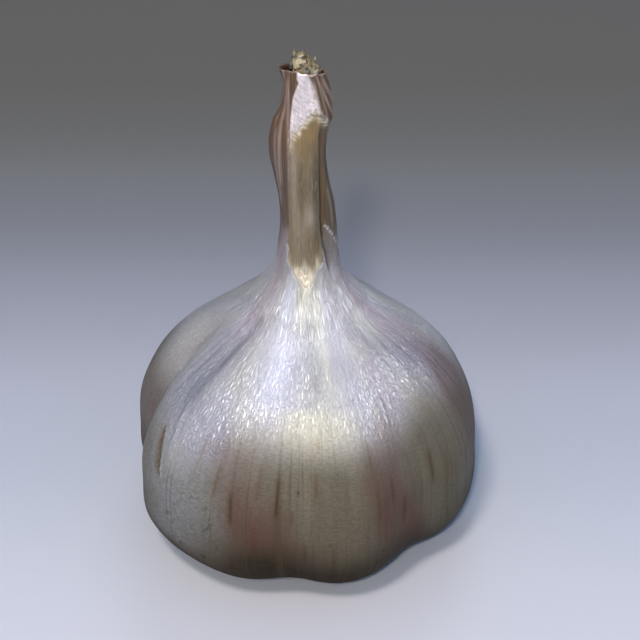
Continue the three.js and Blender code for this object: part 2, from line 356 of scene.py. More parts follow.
def shade(code):
    """Linear colour of a six-figure colour code."""
    parts = [int(code[first:first + 2], 16) / 255 for first in (0, 2, 4)]
    return (*[part / 12.92 if part <= 0.04045 else ((part + 0.055) / 1.055) ** 2.4 for part in parts], 1)


class Finish:
    """A procedural material: its main shader, and short ways to add the nodes that feed it."""

    def __init__(self, name, **settings):
        self.material = bpy.data.materials.new(name)
        self.material.use_nodes = True
        self.tree = self.material.node_tree
        self.shader = self.tree.nodes["Principled BSDF"]
        for socket, value in settings.items():
            self.feed(self.shader.inputs[socket.replace("_", " ")], value)

    def feed(self, socket, value):
        """Links a socket, or sets it to a value or a colour code."""
        if isinstance(value, bpy.types.NodeSocket):
            self.tree.links.new(value, socket)
        else:
            socket.default_value = shade(value) if isinstance(value, str) else value

    def node(self, kind, inputs, **settings):
        """A node with its settings made before its inputs are fed."""
        made = self.tree.nodes.new(kind)
        for name, value in settings.items():
            setattr(made, name, value)
        for socket, value in inputs.items():
            self.feed(made.inputs[socket], value)
        return made

    def mark(self, name, output="Fac"):
        """A value that the mesh carries at each point."""
        return self.node("ShaderNodeAttribute", {}, attribute_name=name).outputs[output]

    def place(self):
        """Where a point is on the object, in metres."""
        return self.node("ShaderNodeTexCoord", {}).outputs["Object"]

    def stretched(self, vector, scale, lean=0.0):
        """The vector scaled, and then turned about the second axis."""
        inputs = {"Vector": vector, "Scale": scale}
        scaled = self.node("ShaderNodeMapping", inputs).outputs["Vector"]
        if not lean:
            return scaled
        return self.node("ShaderNodeMapping", {"Vector": scaled, "Rotation": (0, lean, 0)}).outputs["Vector"]

    def noise(self, vector, scale, detail=2.0, roughness=0.5, distortion=0.0):
        """Smooth noise from 0 to 1, stretched along the vector where the scale has three values."""
        if isinstance(scale, tuple):
            vector, scale = self.stretched(vector, scale), 1.0
        inputs = {"Vector": vector, "Scale": scale, "Detail": detail, "Roughness": roughness,
                  "Distortion": distortion}
        return self.node("ShaderNodeTexNoise", inputs).outputs["Fac"]

    def ridged(self, vector, scale):
        """Noise with sharp raised lines."""
        inputs = {"Vector": self.stretched(vector, scale), "Scale": 1.0, "Distortion": 0.3, "Offset": 1.0}
        return self.node("ShaderNodeTexNoise", inputs, noise_type="RIDGED_MULTIFRACTAL").outputs["Fac"]

    def net(self, vector, scale, width):
        """0 on the lines of a net of cells and 1 past their width."""
        inputs = {"Vector": self.stretched(vector, scale), "Scale": 1.0}
        made = self.node("ShaderNodeTexVoronoi", inputs, feature="DISTANCE_TO_EDGE")
        return self.between(made.outputs["Distance"], 0.0, width)

    def swirled(self, vector, scale, reach):
        """The vector moved a little by coloured noise."""
        noise = self.node("ShaderNodeTexNoise", {"Vector": self.stretched(vector, scale), "Detail": 1.0})
        inputs = {0: noise.outputs["Color"], 1: reach}
        moved = self.node("ShaderNodeVectorMath", inputs, operation="MULTIPLY").outputs[0]
        return self.node("ShaderNodeVectorMath", {0: vector, 1: moved}, operation="ADD").outputs[0]

    def maths(self, operation, first, second):
        """The result of one operation on two values."""
        return self.node("ShaderNodeMath", {0: first, 1: second}, operation=operation).outputs[0]

    def times(self, *factors):
        """Product of the factors."""
        product = factors[0]
        for factor in factors[1:]:
            product = self.maths("MULTIPLY", product, factor)
        return product

    def total(self, *products):
        """Sum of products, each given by its factors."""
        parts = [self.times(*factors) for factors in products]
        for part in parts[1:]:
            parts[0] = self.maths("ADD", parts[0], part)
        return parts[0]

    def less(self, value):
        """1 less the value."""
        return self.maths("SUBTRACT", 1.0, value)

    def between(self, value, low, high, start=0.0, end=1.0):
        """Smooth step of the value: start at low and end at high."""
        inputs = {"Value": value, "From Min": low, "From Max": high, "To Min": start, "To Max": end}
        return self.node("ShaderNodeMapRange", inputs, interpolation_type="SMOOTHSTEP").outputs["Result"]

    def patchy(self, name, noise, low, high, start, end):
        """A mark made uneven by noise."""
        return self.times(self.mark(name), self.between(noise, low, high, start, end))

    def mix(self, share, first, second, blend="MIX"):
        """The first colour at share 0 and the second, or its blend with the first, at share 1."""
        made = self.node("ShaderNodeMix", {}, data_type="RGBA", blend_type=blend)
        for socket, value in (("Factor", share), (6, first), (7, second)):
            self.feed(made.inputs[socket], value)
        return made.outputs[2]

    def layered(self, colour, layers):
        """Tones laid over the colour one by one, each by its share, which is a socket or a mark's name. A
        tone of three numbers multiplies the colour."""
        for share, tone in layers:
            share = self.mark(share) if isinstance(share, str) else share
            if isinstance(tone, tuple):
                colour = self.mix(share, colour, (*tone, 1), "MULTIPLY")
            else:
                colour = self.mix(share, colour, tone)
        return colour

    def dressed(self, colour, roughness, height, depth, strength, metallic=0.0):
        """The material with its colour, gloss and small relief, whose depth is in millimetres."""
        inputs = {"Height": height, "Distance": depth * MM, "Strength": strength}
        normal = self.node("ShaderNodeBump", inputs).outputs["Normal"]
        looks = {"Base Color": colour, "Roughness": roughness, "Metallic": metallic, "Normal": normal}
        for socket, value in looks.items():
            self.feed(self.shader.inputs[socket], value)
        return self.material


def papery_skin():
    """Pearly papery skin: silver white on the shoulders, beige below with mauve, olive and red-brown clouds,
    brown pleats on the neck, lengthwise threads, rusty streaks and a crinkled gloss. Its colour also carries
    painted light: painted shade darker towards the bottom, in the furrows, the creases of the crinkle, the
    valleys of the pleats and the mouth, and painted highlights on the shoulders, across the front, on the
    ridges of the pleats and the neck, and on the rim."""
    skin = Finish("papery_skin", IOR=1.5, Specular_IOR_Level=0.22)
    grain, place = skin.mark("grain", "Vector"), skin.place()
    low, bottom_shade, matte, glossy, pleat_shading, upper = [
        skin.mark(name) for name in ("low", "bottom_shade", "matte", "glossy", "pleat_shading", "upper")
    ]
    broad = skin.noise(grain, (3, 3, 0.5), 3.0)
    wide_streaks = skin.noise(grain, (10, 10, 0.3))
    streaks = skin.noise(grain, (26, 26, 0.4), 3.0, 0.6)
    fine_streaks = skin.noise(grain, (60, 60, 0.9), 2.0, 0.6)
    threads = skin.noise(grain, (42, 42, 0.28))
    lines = skin.noise(grain, (70, 70, 1.4), 3.0, 0.6)
    cells = skin.noise(grain, (36, 36, 30), 3.0, 0.6, 0.4)
    mottle = skin.noise(place, 420.0, 4.0, 0.6)
    wrinkles = skin.ridged(skin.stretched(grain, WRINKLE_GRAIN, WRINKLE_LEAN), (0.5, 0.5, 2.1))
    swirled = skin.swirled(grain, (40, 40, 7), (0.022, 0.022, 0.09))
    crinkle = skin.total(
        (skin.net(swirled, (44, 44, 6.6), 0.28), skin.less(upper)),
        (skin.net(swirled, (26, 26, 4.2), 0.3), upper),
    )
    # Painted shade in the creases of the crinkle net on the shoulders.
    crease_shade = skin.times(skin.between(matte, 0.0, 0.8, 0.38, 0.0), skin.less(crinkle), skin.less(glossy))

    silver = skin.mix(skin.between(broad, 0.35, 0.65), "acaab1", "bcb9b3")
    # Beige lower skin: its darkness is partly the skin's own tone and partly painted shade on the lower body.
    beige = skin.mix(skin.between(streaks, 0.3, 0.68), "575243", "736b5a")
    beige = skin.layered(beige, [
        (skin.between(wide_streaks, 0.35, 0.65, 0.0, 0.6), "756e60"), ("grey", "8a8a8b"),
    ])
    level = skin.node("ShaderNodeSeparateXYZ", {"Vector": place}).outputs["Z"]
    tones = skin.between(fine_streaks, 0.32, 0.66)
    folded = skin.layered(skin.mix(tones, "4f4036", "6f5f55"), [
        (skin.between(level, 0.070, 0.080), skin.mix(tones, "4a3523", "7b5e45")),
        # Painted light on the pleats: a painted highlight on their ridges and painted shade in their valleys.
        (skin.between(pleat_shading, 0.6, 1.0, 0.0, 0.75), "a89389"),
        (skin.between(pleat_shading, 0.35, 0.0, 0.0, 0.6), "352618"),
    ])
    colour = skin.layered(silver, [
        # Painted highlights: a silver-white gleam, and a warm pale band across the front.
        (low, beige), ("gleam", "d2d2de"), ("cream_and_highlight", "d4cebb"),
        (skin.patchy("mauve", fine_streaks, 0.3, 0.7, 0.6, 0.95), "624641"),
        (skin.patchy("red_brown", streaks, 0.3, 0.7, 0.65, 0.95), "593626"),
        # Painted shade: the lower body darkened towards the bottom, where it turns away from the light.
        (bottom_shade, "221401"), ("dry", folded), ("tan", "7d736b"), ("lilac", "9d8a97"),
        (skin.patchy("olive", streaks, 0.3, 0.65, 0.35, 0.85), "524830"),
        (glossy, skin.mix(skin.between(wrinkles, 0.35, 1.0), "efdfda", "fff4f1")),
        (skin.times(skin.between(threads, 0.55, 0.7), low, 0.4), "453c24"),
        # The cell texture of the lower skin, with painted shade in its pits.
        (skin.times(skin.between(cells, 0.62, 0.38, 0.0, 0.3), low), "3b3426"),
        (skin.patchy("rust", fine_streaks, 0.3, 0.65, 0.4, 1.0), (0.85, 0.66, 0.42)),
        # Painted shade: darker in the furrows, along fold lines, on the ridge in front and in the creases of
        # the crinkle.
        ("furrow", (0.55, 0.57, 0.63)), (crease_shade, (0.50, 0.51, 0.56)),
        (skin.patchy("streak", cells, 0.3, 0.6, 0.6, 1.0), (0.46, 0.30, 0.15)),
        # Dark specks with painted shade, painted highlights on the neck ridges and rim, and pale torn edges.
        ("dark", "231a10"), ("rim", "d3bfb9"), ("torn", "ddd6cd"),
    ])
    relief = skin.total(
        (crinkle, skin.between(matte, 0.0, 1.0, 0.8, 0.1)), (lines, 0.8), (cells, 0.8),
        (wrinkles, glossy, 0.1),
    )
    rough = skin.total(
        (skin.between(matte, 0.0, 1.0, 0.36, 0.62),), (skin.between(mottle, 0.3, 0.7, 0.0, 0.08),),
        (bottom_shade, 0.25),
    )
    pearl = skin.total((skin.between(matte, 0.0, 1.0, 0.3, 0.0),), (glossy, 0.45))
    return skin.dressed(colour, rough, relief, 0.12, 1.0, pearl)


def dry_stalk():
    """Dry tan stalk with olive and pale patches, long fibres, a frayed golden edge at the top of the window,
    a crinkled pale foot and a broken end of beige chips. Its colour also carries painted light: a painted
    highlight along the left edge of the column, painted shade in the groove beside the right wing and in the
    crevices between the chips, and painted highlights on the thin tips of the broken end."""
    stalk = Finish("dry_stalk", IOR=1.5, Specular_IOR_Level=0.4)
    grain, place = stalk.mark("grain", "Vector"), stalk.place()
    pale, torn, broken = stalk.mark("pale"), stalk.mark("torn"), stalk.mark("broken")
    fibres = stalk.noise(grain, (6, 6, 0.7), 4.0, 0.6)
    fine = stalk.noise(grain, (26, 26, 5), 3.0, 0.65)
    patch = stalk.noise(place, 330.0, 4.0, 0.65)
    chips = stalk.noise(place, 1100.0, 3.0, 0.6, 0.6)
    splinter_glints = stalk.noise(place, 700.0, 2.0, 0.6)
    wrinkle = stalk.noise(place, 1300.0, 3.0, 0.6, 0.4)
    frays = stalk.noise(stalk.stretched(grain, WRINKLE_GRAIN, WRINKLE_LEAN), (0.5, 0.5, 2.6), 3.0, 0.6)
    # The broken end: painted shade in the crevices between its chips, and painted highlights on its thin
    # tips.
    end = stalk.mix(stalk.between(chips, 0.39, 0.52), "3b2c08", "80714c")
    end = stalk.layered(end, [(stalk.between(splinter_glints, 0.56, 0.64), "bfb28f")])
    colour = stalk.mix(stalk.between(fibres, 0.35, 0.65), "6a5c42", "8a795b")
    colour = stalk.layered(colour, [
        (stalk.between(patch, 0.42, 0.62, 0.0, 0.8), "776e5a"),
        (stalk.times(stalk.mark("olive"), 0.9), "554b30"),
        # Painted highlight along the column's left edge, and paler patches.
        (stalk.patchy("light", fine, 0.3, 0.6, 0.5, 0.95), "a1968a"),
        (stalk.between(fine, 0.5, 0.72, 0.0, 0.55), "a0937a"),
        (stalk.between(fine, 0.45, 0.28, 0.0, 0.5), "544a33"),
        (stalk.patchy("golden", fine, 0.3, 0.6, 0.4, 0.9), "967b4c"),
        (stalk.patchy("pale", fine, 0.3, 0.6, 0.5, 1.0), "d3c8b4"),
        ("wing", stalk.mix(fine, "463722", "6f5b40")), (broken, end), ("dark", "241c12"),
        (stalk.patchy("torn", frays, 0.35, 0.6, 0.15, 1.0), "e0d5bd"),
    ])
    relief = stalk.total(
        (fine, 0.7), (wrinkle, 0.6), (stalk.ridged(grain, (11, 11, 9)), pale, 0.5), (frays, torn, 1.2),
        (chips, broken, 4.0),
    )
    rough = stalk.between(fibres, 0.3, 0.7, 0.38, 0.52)
    return stalk.dressed(colour, rough, relief, 0.14, 0.9, stalk.times(pale, 0.3))


def corky_roots():
    """Dull brown root plate, speckled, with paler cut roots."""
    cork = Finish("corky_roots", IOR=1.45)
    place = cork.place()
    speckle = cork.noise(place, 900.0, 4.0, 0.65)
    patch = cork.noise(place, 250.0, 3.0, 0.6)
    colour = cork.mix(cork.between(speckle, 0.35, 0.65), "4b3a26", "8a7452")
    colour = cork.layered(colour, [(cork.between(patch, 0.45, 0.7, 0.0, 0.6), "a18e6c"), ("pale", "b9a67f")])
    return cork.dressed(colour, cork.between(speckle, 0.3, 0.7, 0.7, 0.9), speckle, 0.25, 0.9)


# ---------- the skin of the bulb and its neck ----------

FRONT = 270.0
FRONT_CROWDING = 0.4
SKIN_COLUMNS = 480
SPLINE_STEPS = 60
BODY_ROWS, SHOULDER_ROWS = 158, 24
UNDER_PACE, BODY_PACE = 1.1, 0.38
FOOT_TOP, FOOT_ROWS = 52.0, 27
NECK_ROWS = 150
POCKET_ROWS = 14
POCKET_FLOOR, POCKET_LIFT = 83.5, 0.3
POCKET_FROM = 60.0
LIP, LIP_GROWTH, LIP_DROP = 0.2, 0.5, 0.04
SKIN_DIP, DIP_FULL = 0.95, 0.22
EDGE_RIM = (-0.1, 0.12, 0.05)  # gap, width and height of the raised edge of the window
STROKE_FADE = 0.8
FLAP_STOP = 359
GRAIN_LENGTH = 10.0

# Small relief. Rows: seed, count round the turn, length, height.
JOIN_WARP = [(16, 36, 4.0, 2.5)]
JOIN_FOLDS = [(14, 100, 12.0, 0.05), (15, 170, 3.5, 0.035)]
BODY_WARP = [(11, 40, 5.0, 2.0), (12, 90, 2.2, 1.2)]
BODY_HOLLOWS = [(1, 12, 18.0, 0.14)]
BODY_FOLDS = [(2, 52, 17.0, 0.015), (3, 130, 7.0, 0.012)]
SHOULDER_FOLDS = [(2, 52, 17.0, 0.02), (3, 130, 7.0, 0.03), (4, 230, 1.3, 0.022)]
GLEAM_RIDGES = [(13, 84, 14.0, 0.13)]
NECK_THREADS = [(6, 90, 7.0, 0.04)]
NECK_CRINKLE = [(7, 60, 1.3, 0.06)]
FRONT_WRINKLES = [(8, 30, 0.7, 0.06)]
WINDOW_RAGS = [(9, 110, 0.5, 0.1)]
HIGH_WINDOW_RAGS = [(10, 60, 0.9, 0.3)]
WANDER = [(21, 20, 8.0, 6.0)]
BLOTCH = [(22, 34, 6.0, 1.0)]
FINE_BLOTCH = [(24, 90, 3.0, 1.0)]

# Bell curves round the bulb. Rows: angle, strength, spread.
BEIGE_RISE = [(328, 4.5, 20), (160, 2.0, 60), (224, -4.0, 12), (278, 2.6, 22), (190, -4.5, 13)]
# A greyer, paler tone on the left cloves: partly the skin's own grey, partly painted light on the side turned
# to the light.
GREY_AND_LIT_LEFT = [(224, 1, 17), (188, 0.7, 16)]

# Upright bands. Rows: angle, strength, spread, start, full, fade, stop.
VALLEY = [(309, 0.18, 3.5, 22, 29, 35, 40)]
NECK_GROOVES = [(321, 0.45, 3.0, 50, 54, 70, 76), (227.5, 0.35, 2.2, 60, 66, 84, 87)]
# Painted shade in the deep creases beside the neck's wings.
NECK_CREASE_SHADE = [(321, 0.8, 2.2, 50, 53, 76, 80), (228, 0.48, 1.6, 58, 64, 84, 87)]
RUSTY_BAND = [(215, 0.3, 2.6, 12, 14, 18, 20)]
RIGHT_OLIVE = [(336, 0.95, 25, 52, 58, 68, 76)]
LILAC = [
    (217, 0.9, 14, 38, 46, 57, 62), (348, 0.85, 15, 32, 41, 54, 58), (312, 0.35, 8, 30, 36, 52, 55),
    (110, 0.5, 30, 42, 47, 56, 62),
]

# Soft patches. Rows: angle, height, half angle, half height, strength.
GLEAM_SPOT = [(272, 32.5, 27, 5, 1)]
# Painted highlights: a silver-white gleam on the left of the front shoulder and on the left of the neck foot.
PAINTED_GLEAM = [(253, 40, 9, 5, 0.75), (247, 49.5, 9, 4, 1)]
# Painted highlight: a warm pale band with a crisp upper edge across the front, where the front lamp's
# reflection falls. A warm pale patch at the neck foot is partly the pale tone of the stalk's foot and partly
# painted highlight.
CREAM_HIGHLIGHT_BAND = [(273, 34.3, 17, 3.6, 0.8)]
CREAM_HIGHLIGHT_FOOT = [(273, 50.5, 17, 5.5, 0.85)]
# Painted shade that deepens the bottom low on the front left.
LEFT_BOTTOM_SHADE = [(254, 11, 12, 4.5, 0.35)]
# Painted shade that dims the ridge in front of the neck foot.
RIDGE_SHADE = [(276, 42, 6, 7, 0.7)]
DULL_SPOT = [(290, 40.5, 14, 4, 0.45)]
MAUVE = [
    (350, 33, 11, 6, 0.9), (243, 30, 7, 3.5, 0.6), (251, 23, 7, 4.5, 0.6), (254, 17, 7, 4.5, 0.85),
    (306, 31, 7, 4, 0.65), (303, 24, 6, 6, 0.5), (350, 27, 11, 7, 1.0), (356, 17, 9, 7, 0.9),
    (180, 22, 8, 7, 0.6), (184, 36, 7, 6, 0.25), (44, 27, 9, 9, 0.9), (91, 25, 9, 9, 0.9),
    (137, 26, 9, 9, 0.9), (112, 31, 8, 4, 0.5), (68, 30, 7, 4, 0.5),
]
RED_BROWN = [
    (187, 24, 5, 5, 0.25), (309, 14.5, 7, 7, 1.0), (302, 22, 5, 5, 0.5), (252, 17, 8, 5, 0.5),
    (259, 11, 12, 5, 1.0), (262, 19, 6, 5, 0.6), (248, 25, 6, 6, 0.3), (298, 19, 7, 7, 0.7),
    (304, 12, 8, 6, 0.9), (295, 27, 5, 5, 0.5), (50, 13, 12, 7, 0.8), (97, 12, 14, 7, 0.9),
    (140, 13, 10, 6, 0.8), (5, 12, 12, 6, 0.6),
]
OLIVE = [
    (283, 20, 9, 9, 0.5), (325, 24, 10, 9, 0.8), (237, 9, 10, 5, 0.6), (330, 13, 10, 6, 0.5),
    (20, 20, 13, 9, 0.7), (70, 19, 13, 9, 0.7), (116, 19, 12, 9, 0.7), (160, 19, 11, 9, 0.7),
    (200, 16, 8, 8, 0.4),
]

# Upright strokes. Rows: top angle, foot angle, top, foot, strength.
FOLDS = [
    (308, 306, 38, 31.5, 1), (304, 303, 35.5, 31, 0.8), (217, 220, 34, 25, 1),
    (312, 309.5, 37, 32, 0.7),
]
GLEAM_FOLDS = [
    (250.5, 249, 36.6, 30.5, 0.8), (255, 254, 36.9, 30.8, 0.6), (261.8, 261, 36.8, 29.6, 0.9),
    (267, 267.8, 36.5, 29.8, 0.7), (272.4, 271.6, 36.7, 30.2, 0.8), (279.6, 278.8, 36.9, 29.4, 1.0),
    (283.2, 284, 37.4, 30.4, 0.8), (287.6, 286.8, 38.5, 30.0, 0.9), (290.6, 289.6, 40.5, 31.0, 0.6),
    (276.8, 276, 41.5, 35.4, 0.5), (294.8, 293.4, 42, 32, 0.7), (245.8, 244.6, 37.5, 33, 0.5),
]
STREAKS = [
    (246, 246.6, 24.6, 18.2, 0.8), (261.3, 260.6, 27.6, 20.4, 1.0), (274.2, 273.6, 28.6, 23.6, 0.5),
    (275.5, 275.4, 33.2, 31.6, 0.55), (319.4, 318.6, 26.4, 20.0, 1.0), (305.5, 305, 20.6, 14.8, 0.85),
    (254.6, 254.2, 29.6, 23.4, 0.35), (240.6, 239.8, 28.4, 22.4, 0.5), (293.6, 293.4, 32.0, 27.6, 0.5),
    (300.4, 300.2, 25.2, 20.6, 0.7), (279.2, 279, 15.6, 6.6, 0.4), (270, 270, 15.6, 11.6, 0.5),
    (294.6, 294.2, 25.0, 18.6, 0.4), (326, 325, 25, 18.4, 0.4), (233, 231, 31, 24, 0.3),
    (266, 266, 21.8, 19.4, 0.5), (52, 52.6, 27, 19, 0.8), (75, 75.3, 25, 16, 0.6),
    (118, 117, 26, 18, 0.9), (151, 150.4, 28, 21, 0.6), (104, 104, 22, 14, 0.5),
    (17, 16.6, 24, 16, 0.7), (168, 168, 24, 17, 0.6), (34, 33.5, 29, 23, 0.4), (127, 127, 30, 25, 0.4),
    (84, 84, 30, 26, 0.4), (5, 5, 26, 21, 0.4), (196, 196.6, 26, 20, 0.5),
]
# Painted shade along long fold lines on the shoulders.
SHOULDER_SHADE_LINES = [
    (223, 217, 46, 34, 0.5), (213, 206, 45, 32, 0.6), (207, 200, 43, 29, 0.5), (200, 195, 42, 28, 0.35),
    (194, 191, 42, 33, 0.25), (187, 185, 42, 34, 0.2), (236, 230, 46, 38, 0.4), (318, 323, 46, 35, 0.4),
    (327, 331, 45, 32, 0.45), (335, 338, 44, 33, 0.4), (345, 347, 42, 30, 0.4), (353, 355, 40, 28, 0.4),
    (60, 60, 41, 29, 0.4), (95, 96, 42, 30, 0.5), (128, 127, 40, 29, 0.4), (150, 148, 42, 28, 0.5),
]
NECK_RIDGES = [
    (225, 226, 86, 62, 1), (212, 209, 82.5, 68, 1), (218, 214, 87.5, 80, 0.8), (203, 204, 79, 64, 0.7),
    (298, 324, 87.5, 79.5, 1), (312, 333, 87.5, 80.5, 0.9), (325, 342, 87, 81, 0.7),
    (289, 302, 88, 85.5, 0.6), (338, 341, 68, 60, 0.6), (352, 350, 84, 76, 0.6), (30, 36, 84, 64, 0.8),
    (75, 70, 86, 60, 0.8), (120, 126, 85, 58, 0.8), (160, 158, 84, 66, 0.8), (98, 97, 74, 56, 0.6),
    (140, 143, 70, 55, 0.6),
]

# Lines and edges, from the top down. Rows: height, angle.
SLIT = [(29, 212), (24.5, 215), (21.2, 217)]
SCAR_LEFT = [(21.6, 226.5), (17.9, 226), (14.8, 226), (13, 224), (8, 228), (6.4, 235)]
SCAR_RIGHT = [(22.0, 240), (18.3, 240), (15.6, 238), (12, 243), (6.4, 252)]
LEFT_FURROW = [(47, 229), (42, 219), (38, 215), (32, 214), (26, 213)]
RIGHT_FURROW = [(46, 302), (42, 320), (38, 338), (34, 348)]
FLAP_EDGE = [(89, 281), (88.4, 283), (86.4, 298), (84, 307), (82, 313), (80, 321), (78, 330)]
GLOSSY_LEFT = [(89, 250), (87.6, 250), (87.1, 255), (85, 243), (84, 238), (81.4, 234), (78, 231)]
TORN_WING = [(64, 322), (61.5, 325), (58.5, 338), (56, 350), (54.5, 365)]

# Heights where a band starts and is full, and for some of them where it fades and stops.
BEIGE_EDGE, GREY_EDGE, BOTTOM_SHADE_EDGE = (25, 34.5), (6, 12), (5, 19)
DRY_EDGE, TAN_EDGE, NECK_TINT_EDGE = (54, 61), (51.5, 56.5), (50, 57)
GLOSSY_EDGE, RAGGED_EDGE, SCAR_EDGE = (74, 77), (72, 77), (9, 13)
CREAM_HIGHLIGHT_TOP, CREAM_HIGHLIGHT_DROP = (36.0, 36.9), 0.75
SHOULDER_EDGE, PLEAT_EDGE, UPPER_NECK_EDGE, WRINKLE_EDGE = (24, 33), (68, 80), (50, 62), (74, 80)
JOIN_BAND, LEFT_TEAR_BAND = (34, 42, 52, 58), (50.8, 52, 55, 58)
BODY_BAND = (2, 8, NECK_FOOT - 7, NECK_FOOT)
LEFT_FURROW_BAND, RIGHT_FURROW_BAND = (26, 36, 43, 46), (34, 38, 43, 46)

LEFT_FURROW_SPREAD, RIGHT_FURROW_SPREAD = 7, 12
LEFT_FURROW_SHARE, RIGHT_FURROW_SHARE, FURROW_DEPTH = 0.85, 0.6, 0.5
RIGHT_WING = (318, 323, 372, 376)  # angles where it starts, is full, fades and stops
NECK_FRONT_AT, NECK_FRONT_SPREAD = 262, 34
FOLD_HEIGHT, FOLD_HALF = 0.22, 0.45
GLEAM_FOLD_DEPTH, GLEAM_FOLD_HALF = 0.13, 0.2
NECK_RIDGE_HEIGHT, NECK_RIDGE_HALF, FLAP_HEIGHT = 0.2, 0.2, 0.16
STREAK_HALF, RUST_HALF, SHOULDER_SHADE_HALF, RIDGE_HIGHLIGHT_HALF = 0.22, 0.6, 0.3, 0.16
FAR_FROM_WINDOW = -9.0
SLIT_HALF, SLIT_DEPTH = 1.25, 0.35
SCAR_TOP, SCAR_FOOT, SCAR_HEIGHT = 21.4, 6.4, 0.36

SPECKS = [  # angle, height, half width
    (237, 9.9, 0.5), (243, 6.8, 0.5), (228, 10.5, 0.35), (222, 15, 0.3), (268, 25.1, 0.28),
    (278, 15.6, 0.25), (294, 10.0, 0.45), (296, 12, 0.3), (72, 11, 0.4), (129, 9, 0.45), (31, 13, 0.35),
    (158, 12, 0.35),
]


def clove_surface(angle, radius, height):
    """The outline swollen by each clove and drawn in at each seam, where the underside also rises."""
    strength = ease(LOBES_START, LOBES_FULL, radius)
    drawn = bells(angle, SEAMS) * strength
    lift = drawn * (1 - ease(LIFT_FROM, LIFT_TO, height)) * SEAM_LIFT
    return turned(radius * (1 + bells(angle, CLOVES) * strength - drawn), angle, height + lift)


def neck_radius(angle, height):
    """A mean of the neck's front and back reach, with a wing out to each side and a crease beside it."""
    front, back = reach_at(NECK_FRONT, height), reach_at(NECK_BACK, height)
    about = front + (back - front) * (0.5 + 0.5 * np.sin(np.radians(angle)))
    narrowing = ease(WINGS_NARROW_FROM, WINGS_NARROW_TO, height)
    spread = WING_SPREAD_LOW + (WING_SPREAD_HIGH - WING_SPREAD_LOW) * narrowing
    left = (reach_at(NECK_LEFT, height) - about) * bell(angle - LEFT_WING_AT, spread)
    right = (reach_at(NECK_RIGHT, height) - about) * bell(angle - RIGHT_WING_AT, spread)
    return about + left + right - bands(angle, height, CREASES)


def rim_rise(angle):
    """How far the ragged rim stands above or below its mean height."""
    return sum(height * np.cos(np.radians(count * angle + phase)) for count, height, phase in RIM_WAVES)


def paced(points, count):
    """Places along a curve and their lengths along it. Each step is as long as its pace, which is wider on
    the underside."""
    steps = np.hypot(*np.diff(points, axis=0).T)
    length = np.concatenate([[0], np.cumsum(steps)])
    middle = (points[1:] + points[:-1]) / 2
    pace = np.where(middle[:, 1] < RECESS_ROOF, UNDER_PACE, BODY_PACE)
    rate = np.concatenate([[0], np.cumsum(steps / pace)])
    wanted = np.interp(np.linspace(0, rate[-1], count), rate, length)
    return np.stack([np.interp(wanted, length, points[:, axis]) for axis in (0, 1)], 1), wanted


def layers_of(noise, angle, along, rows):
    """Sum of layers of one kind of noise. Rows: seed, count round the turn, length, height."""
    return sum(height * noise(seed, angle, along, count, length) for seed, count, length, height in rows)


def furrow(angle, height):
    """Strength of a soft furrow high on the left shoulder: a bell across its line, faded at its ends."""
    near = bell(angle - along_line(LEFT_FURROW, height), LEFT_FURROW_SPREAD)
    return LEFT_FURROW_SHARE * near * span(height, *LEFT_FURROW_BAND)


def scar_step(angle, height):
    """1 inside a healed flap of skin on the left, 0 outside, with a sharp wavy edge: its lines are shifted by
    sine waves of the height and the angle."""
    wobble = 0.8 * np.sin(1.7 * height) + 0.5 * np.sin(4.1 * height + 1)
    corner = 3 * ease(SCAR_TOP - 3, SCAR_TOP, height)
    left = along_line(SCAR_LEFT, height) + wobble + corner
    right = along_line(SCAR_RIGHT, height) - 0.7 * wobble - corner
    top = SCAR_TOP + 0.4 * np.sin(0.7 * angle) + 0.2 * np.sin(1.9 * angle)
    inside = ease(-0.6, 0.6, angle - left) * ease(-0.6, 0.6, right - angle)
    return inside * span(height, SCAR_FOOT, SCAR_FOOT + 5, top - 0.3, top + 0.3)


def slit_depth(angle, height):
    """1 in the middle of a leaf-shaped slit on the left, 0 at its edges. Its half width is that of a circle's
    arc: twice the root of share times 1 less share."""
    top, foot = SLIT[0][0], SLIT[-1][0]
    share = np.clip((height - foot) / (top - foot), 0, 1)
    half = SLIT_HALF * np.sqrt(np.maximum(4 * share * (1 - share), 1e-6)) + 1e-3
    aside = np.abs(angle - along_line(SLIT, height))
    return (1 - ease(0.5, 1.0, aside / half)) * (height > foot) * (height < top)


def join_relief(angle, along, height):
    """Relief in millimetres: long fine folds that run from the shoulders up on to the foot of the neck."""
    warped = angle + layers_of(patches, angle, along, JOIN_WARP)
    return layers_of(ridges, warped, along, JOIN_FOLDS) * span(height, *JOIN_BAND)


def body_relief(angle, along, height, radius):
    """Relief in millimetres: broad hollows, wandering lengthwise folds, crinkles on the shoulders, sharper
    ridges across the gleam, and the flap, slit, valley and furrow of the skin."""
    warp = layers_of(patches, angle, along, BODY_WARP)
    fine = layers_of(patches, angle, along, BODY_HOLLOWS) + layers_of(ridges, angle + warp, along, BODY_FOLDS)
    fine = fine + layers_of(ridges, angle + warp, along, SHOULDER_FOLDS) * ease(*SHOULDER_EDGE, height)
    gleam = clouds(angle, height, GLEAM_SPOT)
    fine = fine + layers_of(ridges, angle + 0.6 * warp, along, GLEAM_RIDGES) * gleam
    fine = fine * span(height, *BODY_BAND)
    folds = FOLD_HEIGHT * stroke(angle, height, radius, FOLDS, FOLD_HALF)
    folds = folds - GLEAM_FOLD_DEPTH * stroke(angle, height, radius, GLEAM_FOLDS, GLEAM_FOLD_HALF)
    folds = folds - FURROW_DEPTH * furrow(angle, height)
    hollows = SLIT_DEPTH * slit_depth(angle, height) + bands(angle, height, VALLEY)
    return fine + folds - hollows + SCAR_HEIGHT * scar_step(angle, height)


def flap_share(angle, height, start, full):
    """1 on the upper flap at the right of the neck, past its edge."""
    past = ease(0, 2.5, angle - along_line(FLAP_EDGE, height))
    return past * (angle < FLAP_STOP) * ease(start, full, height)


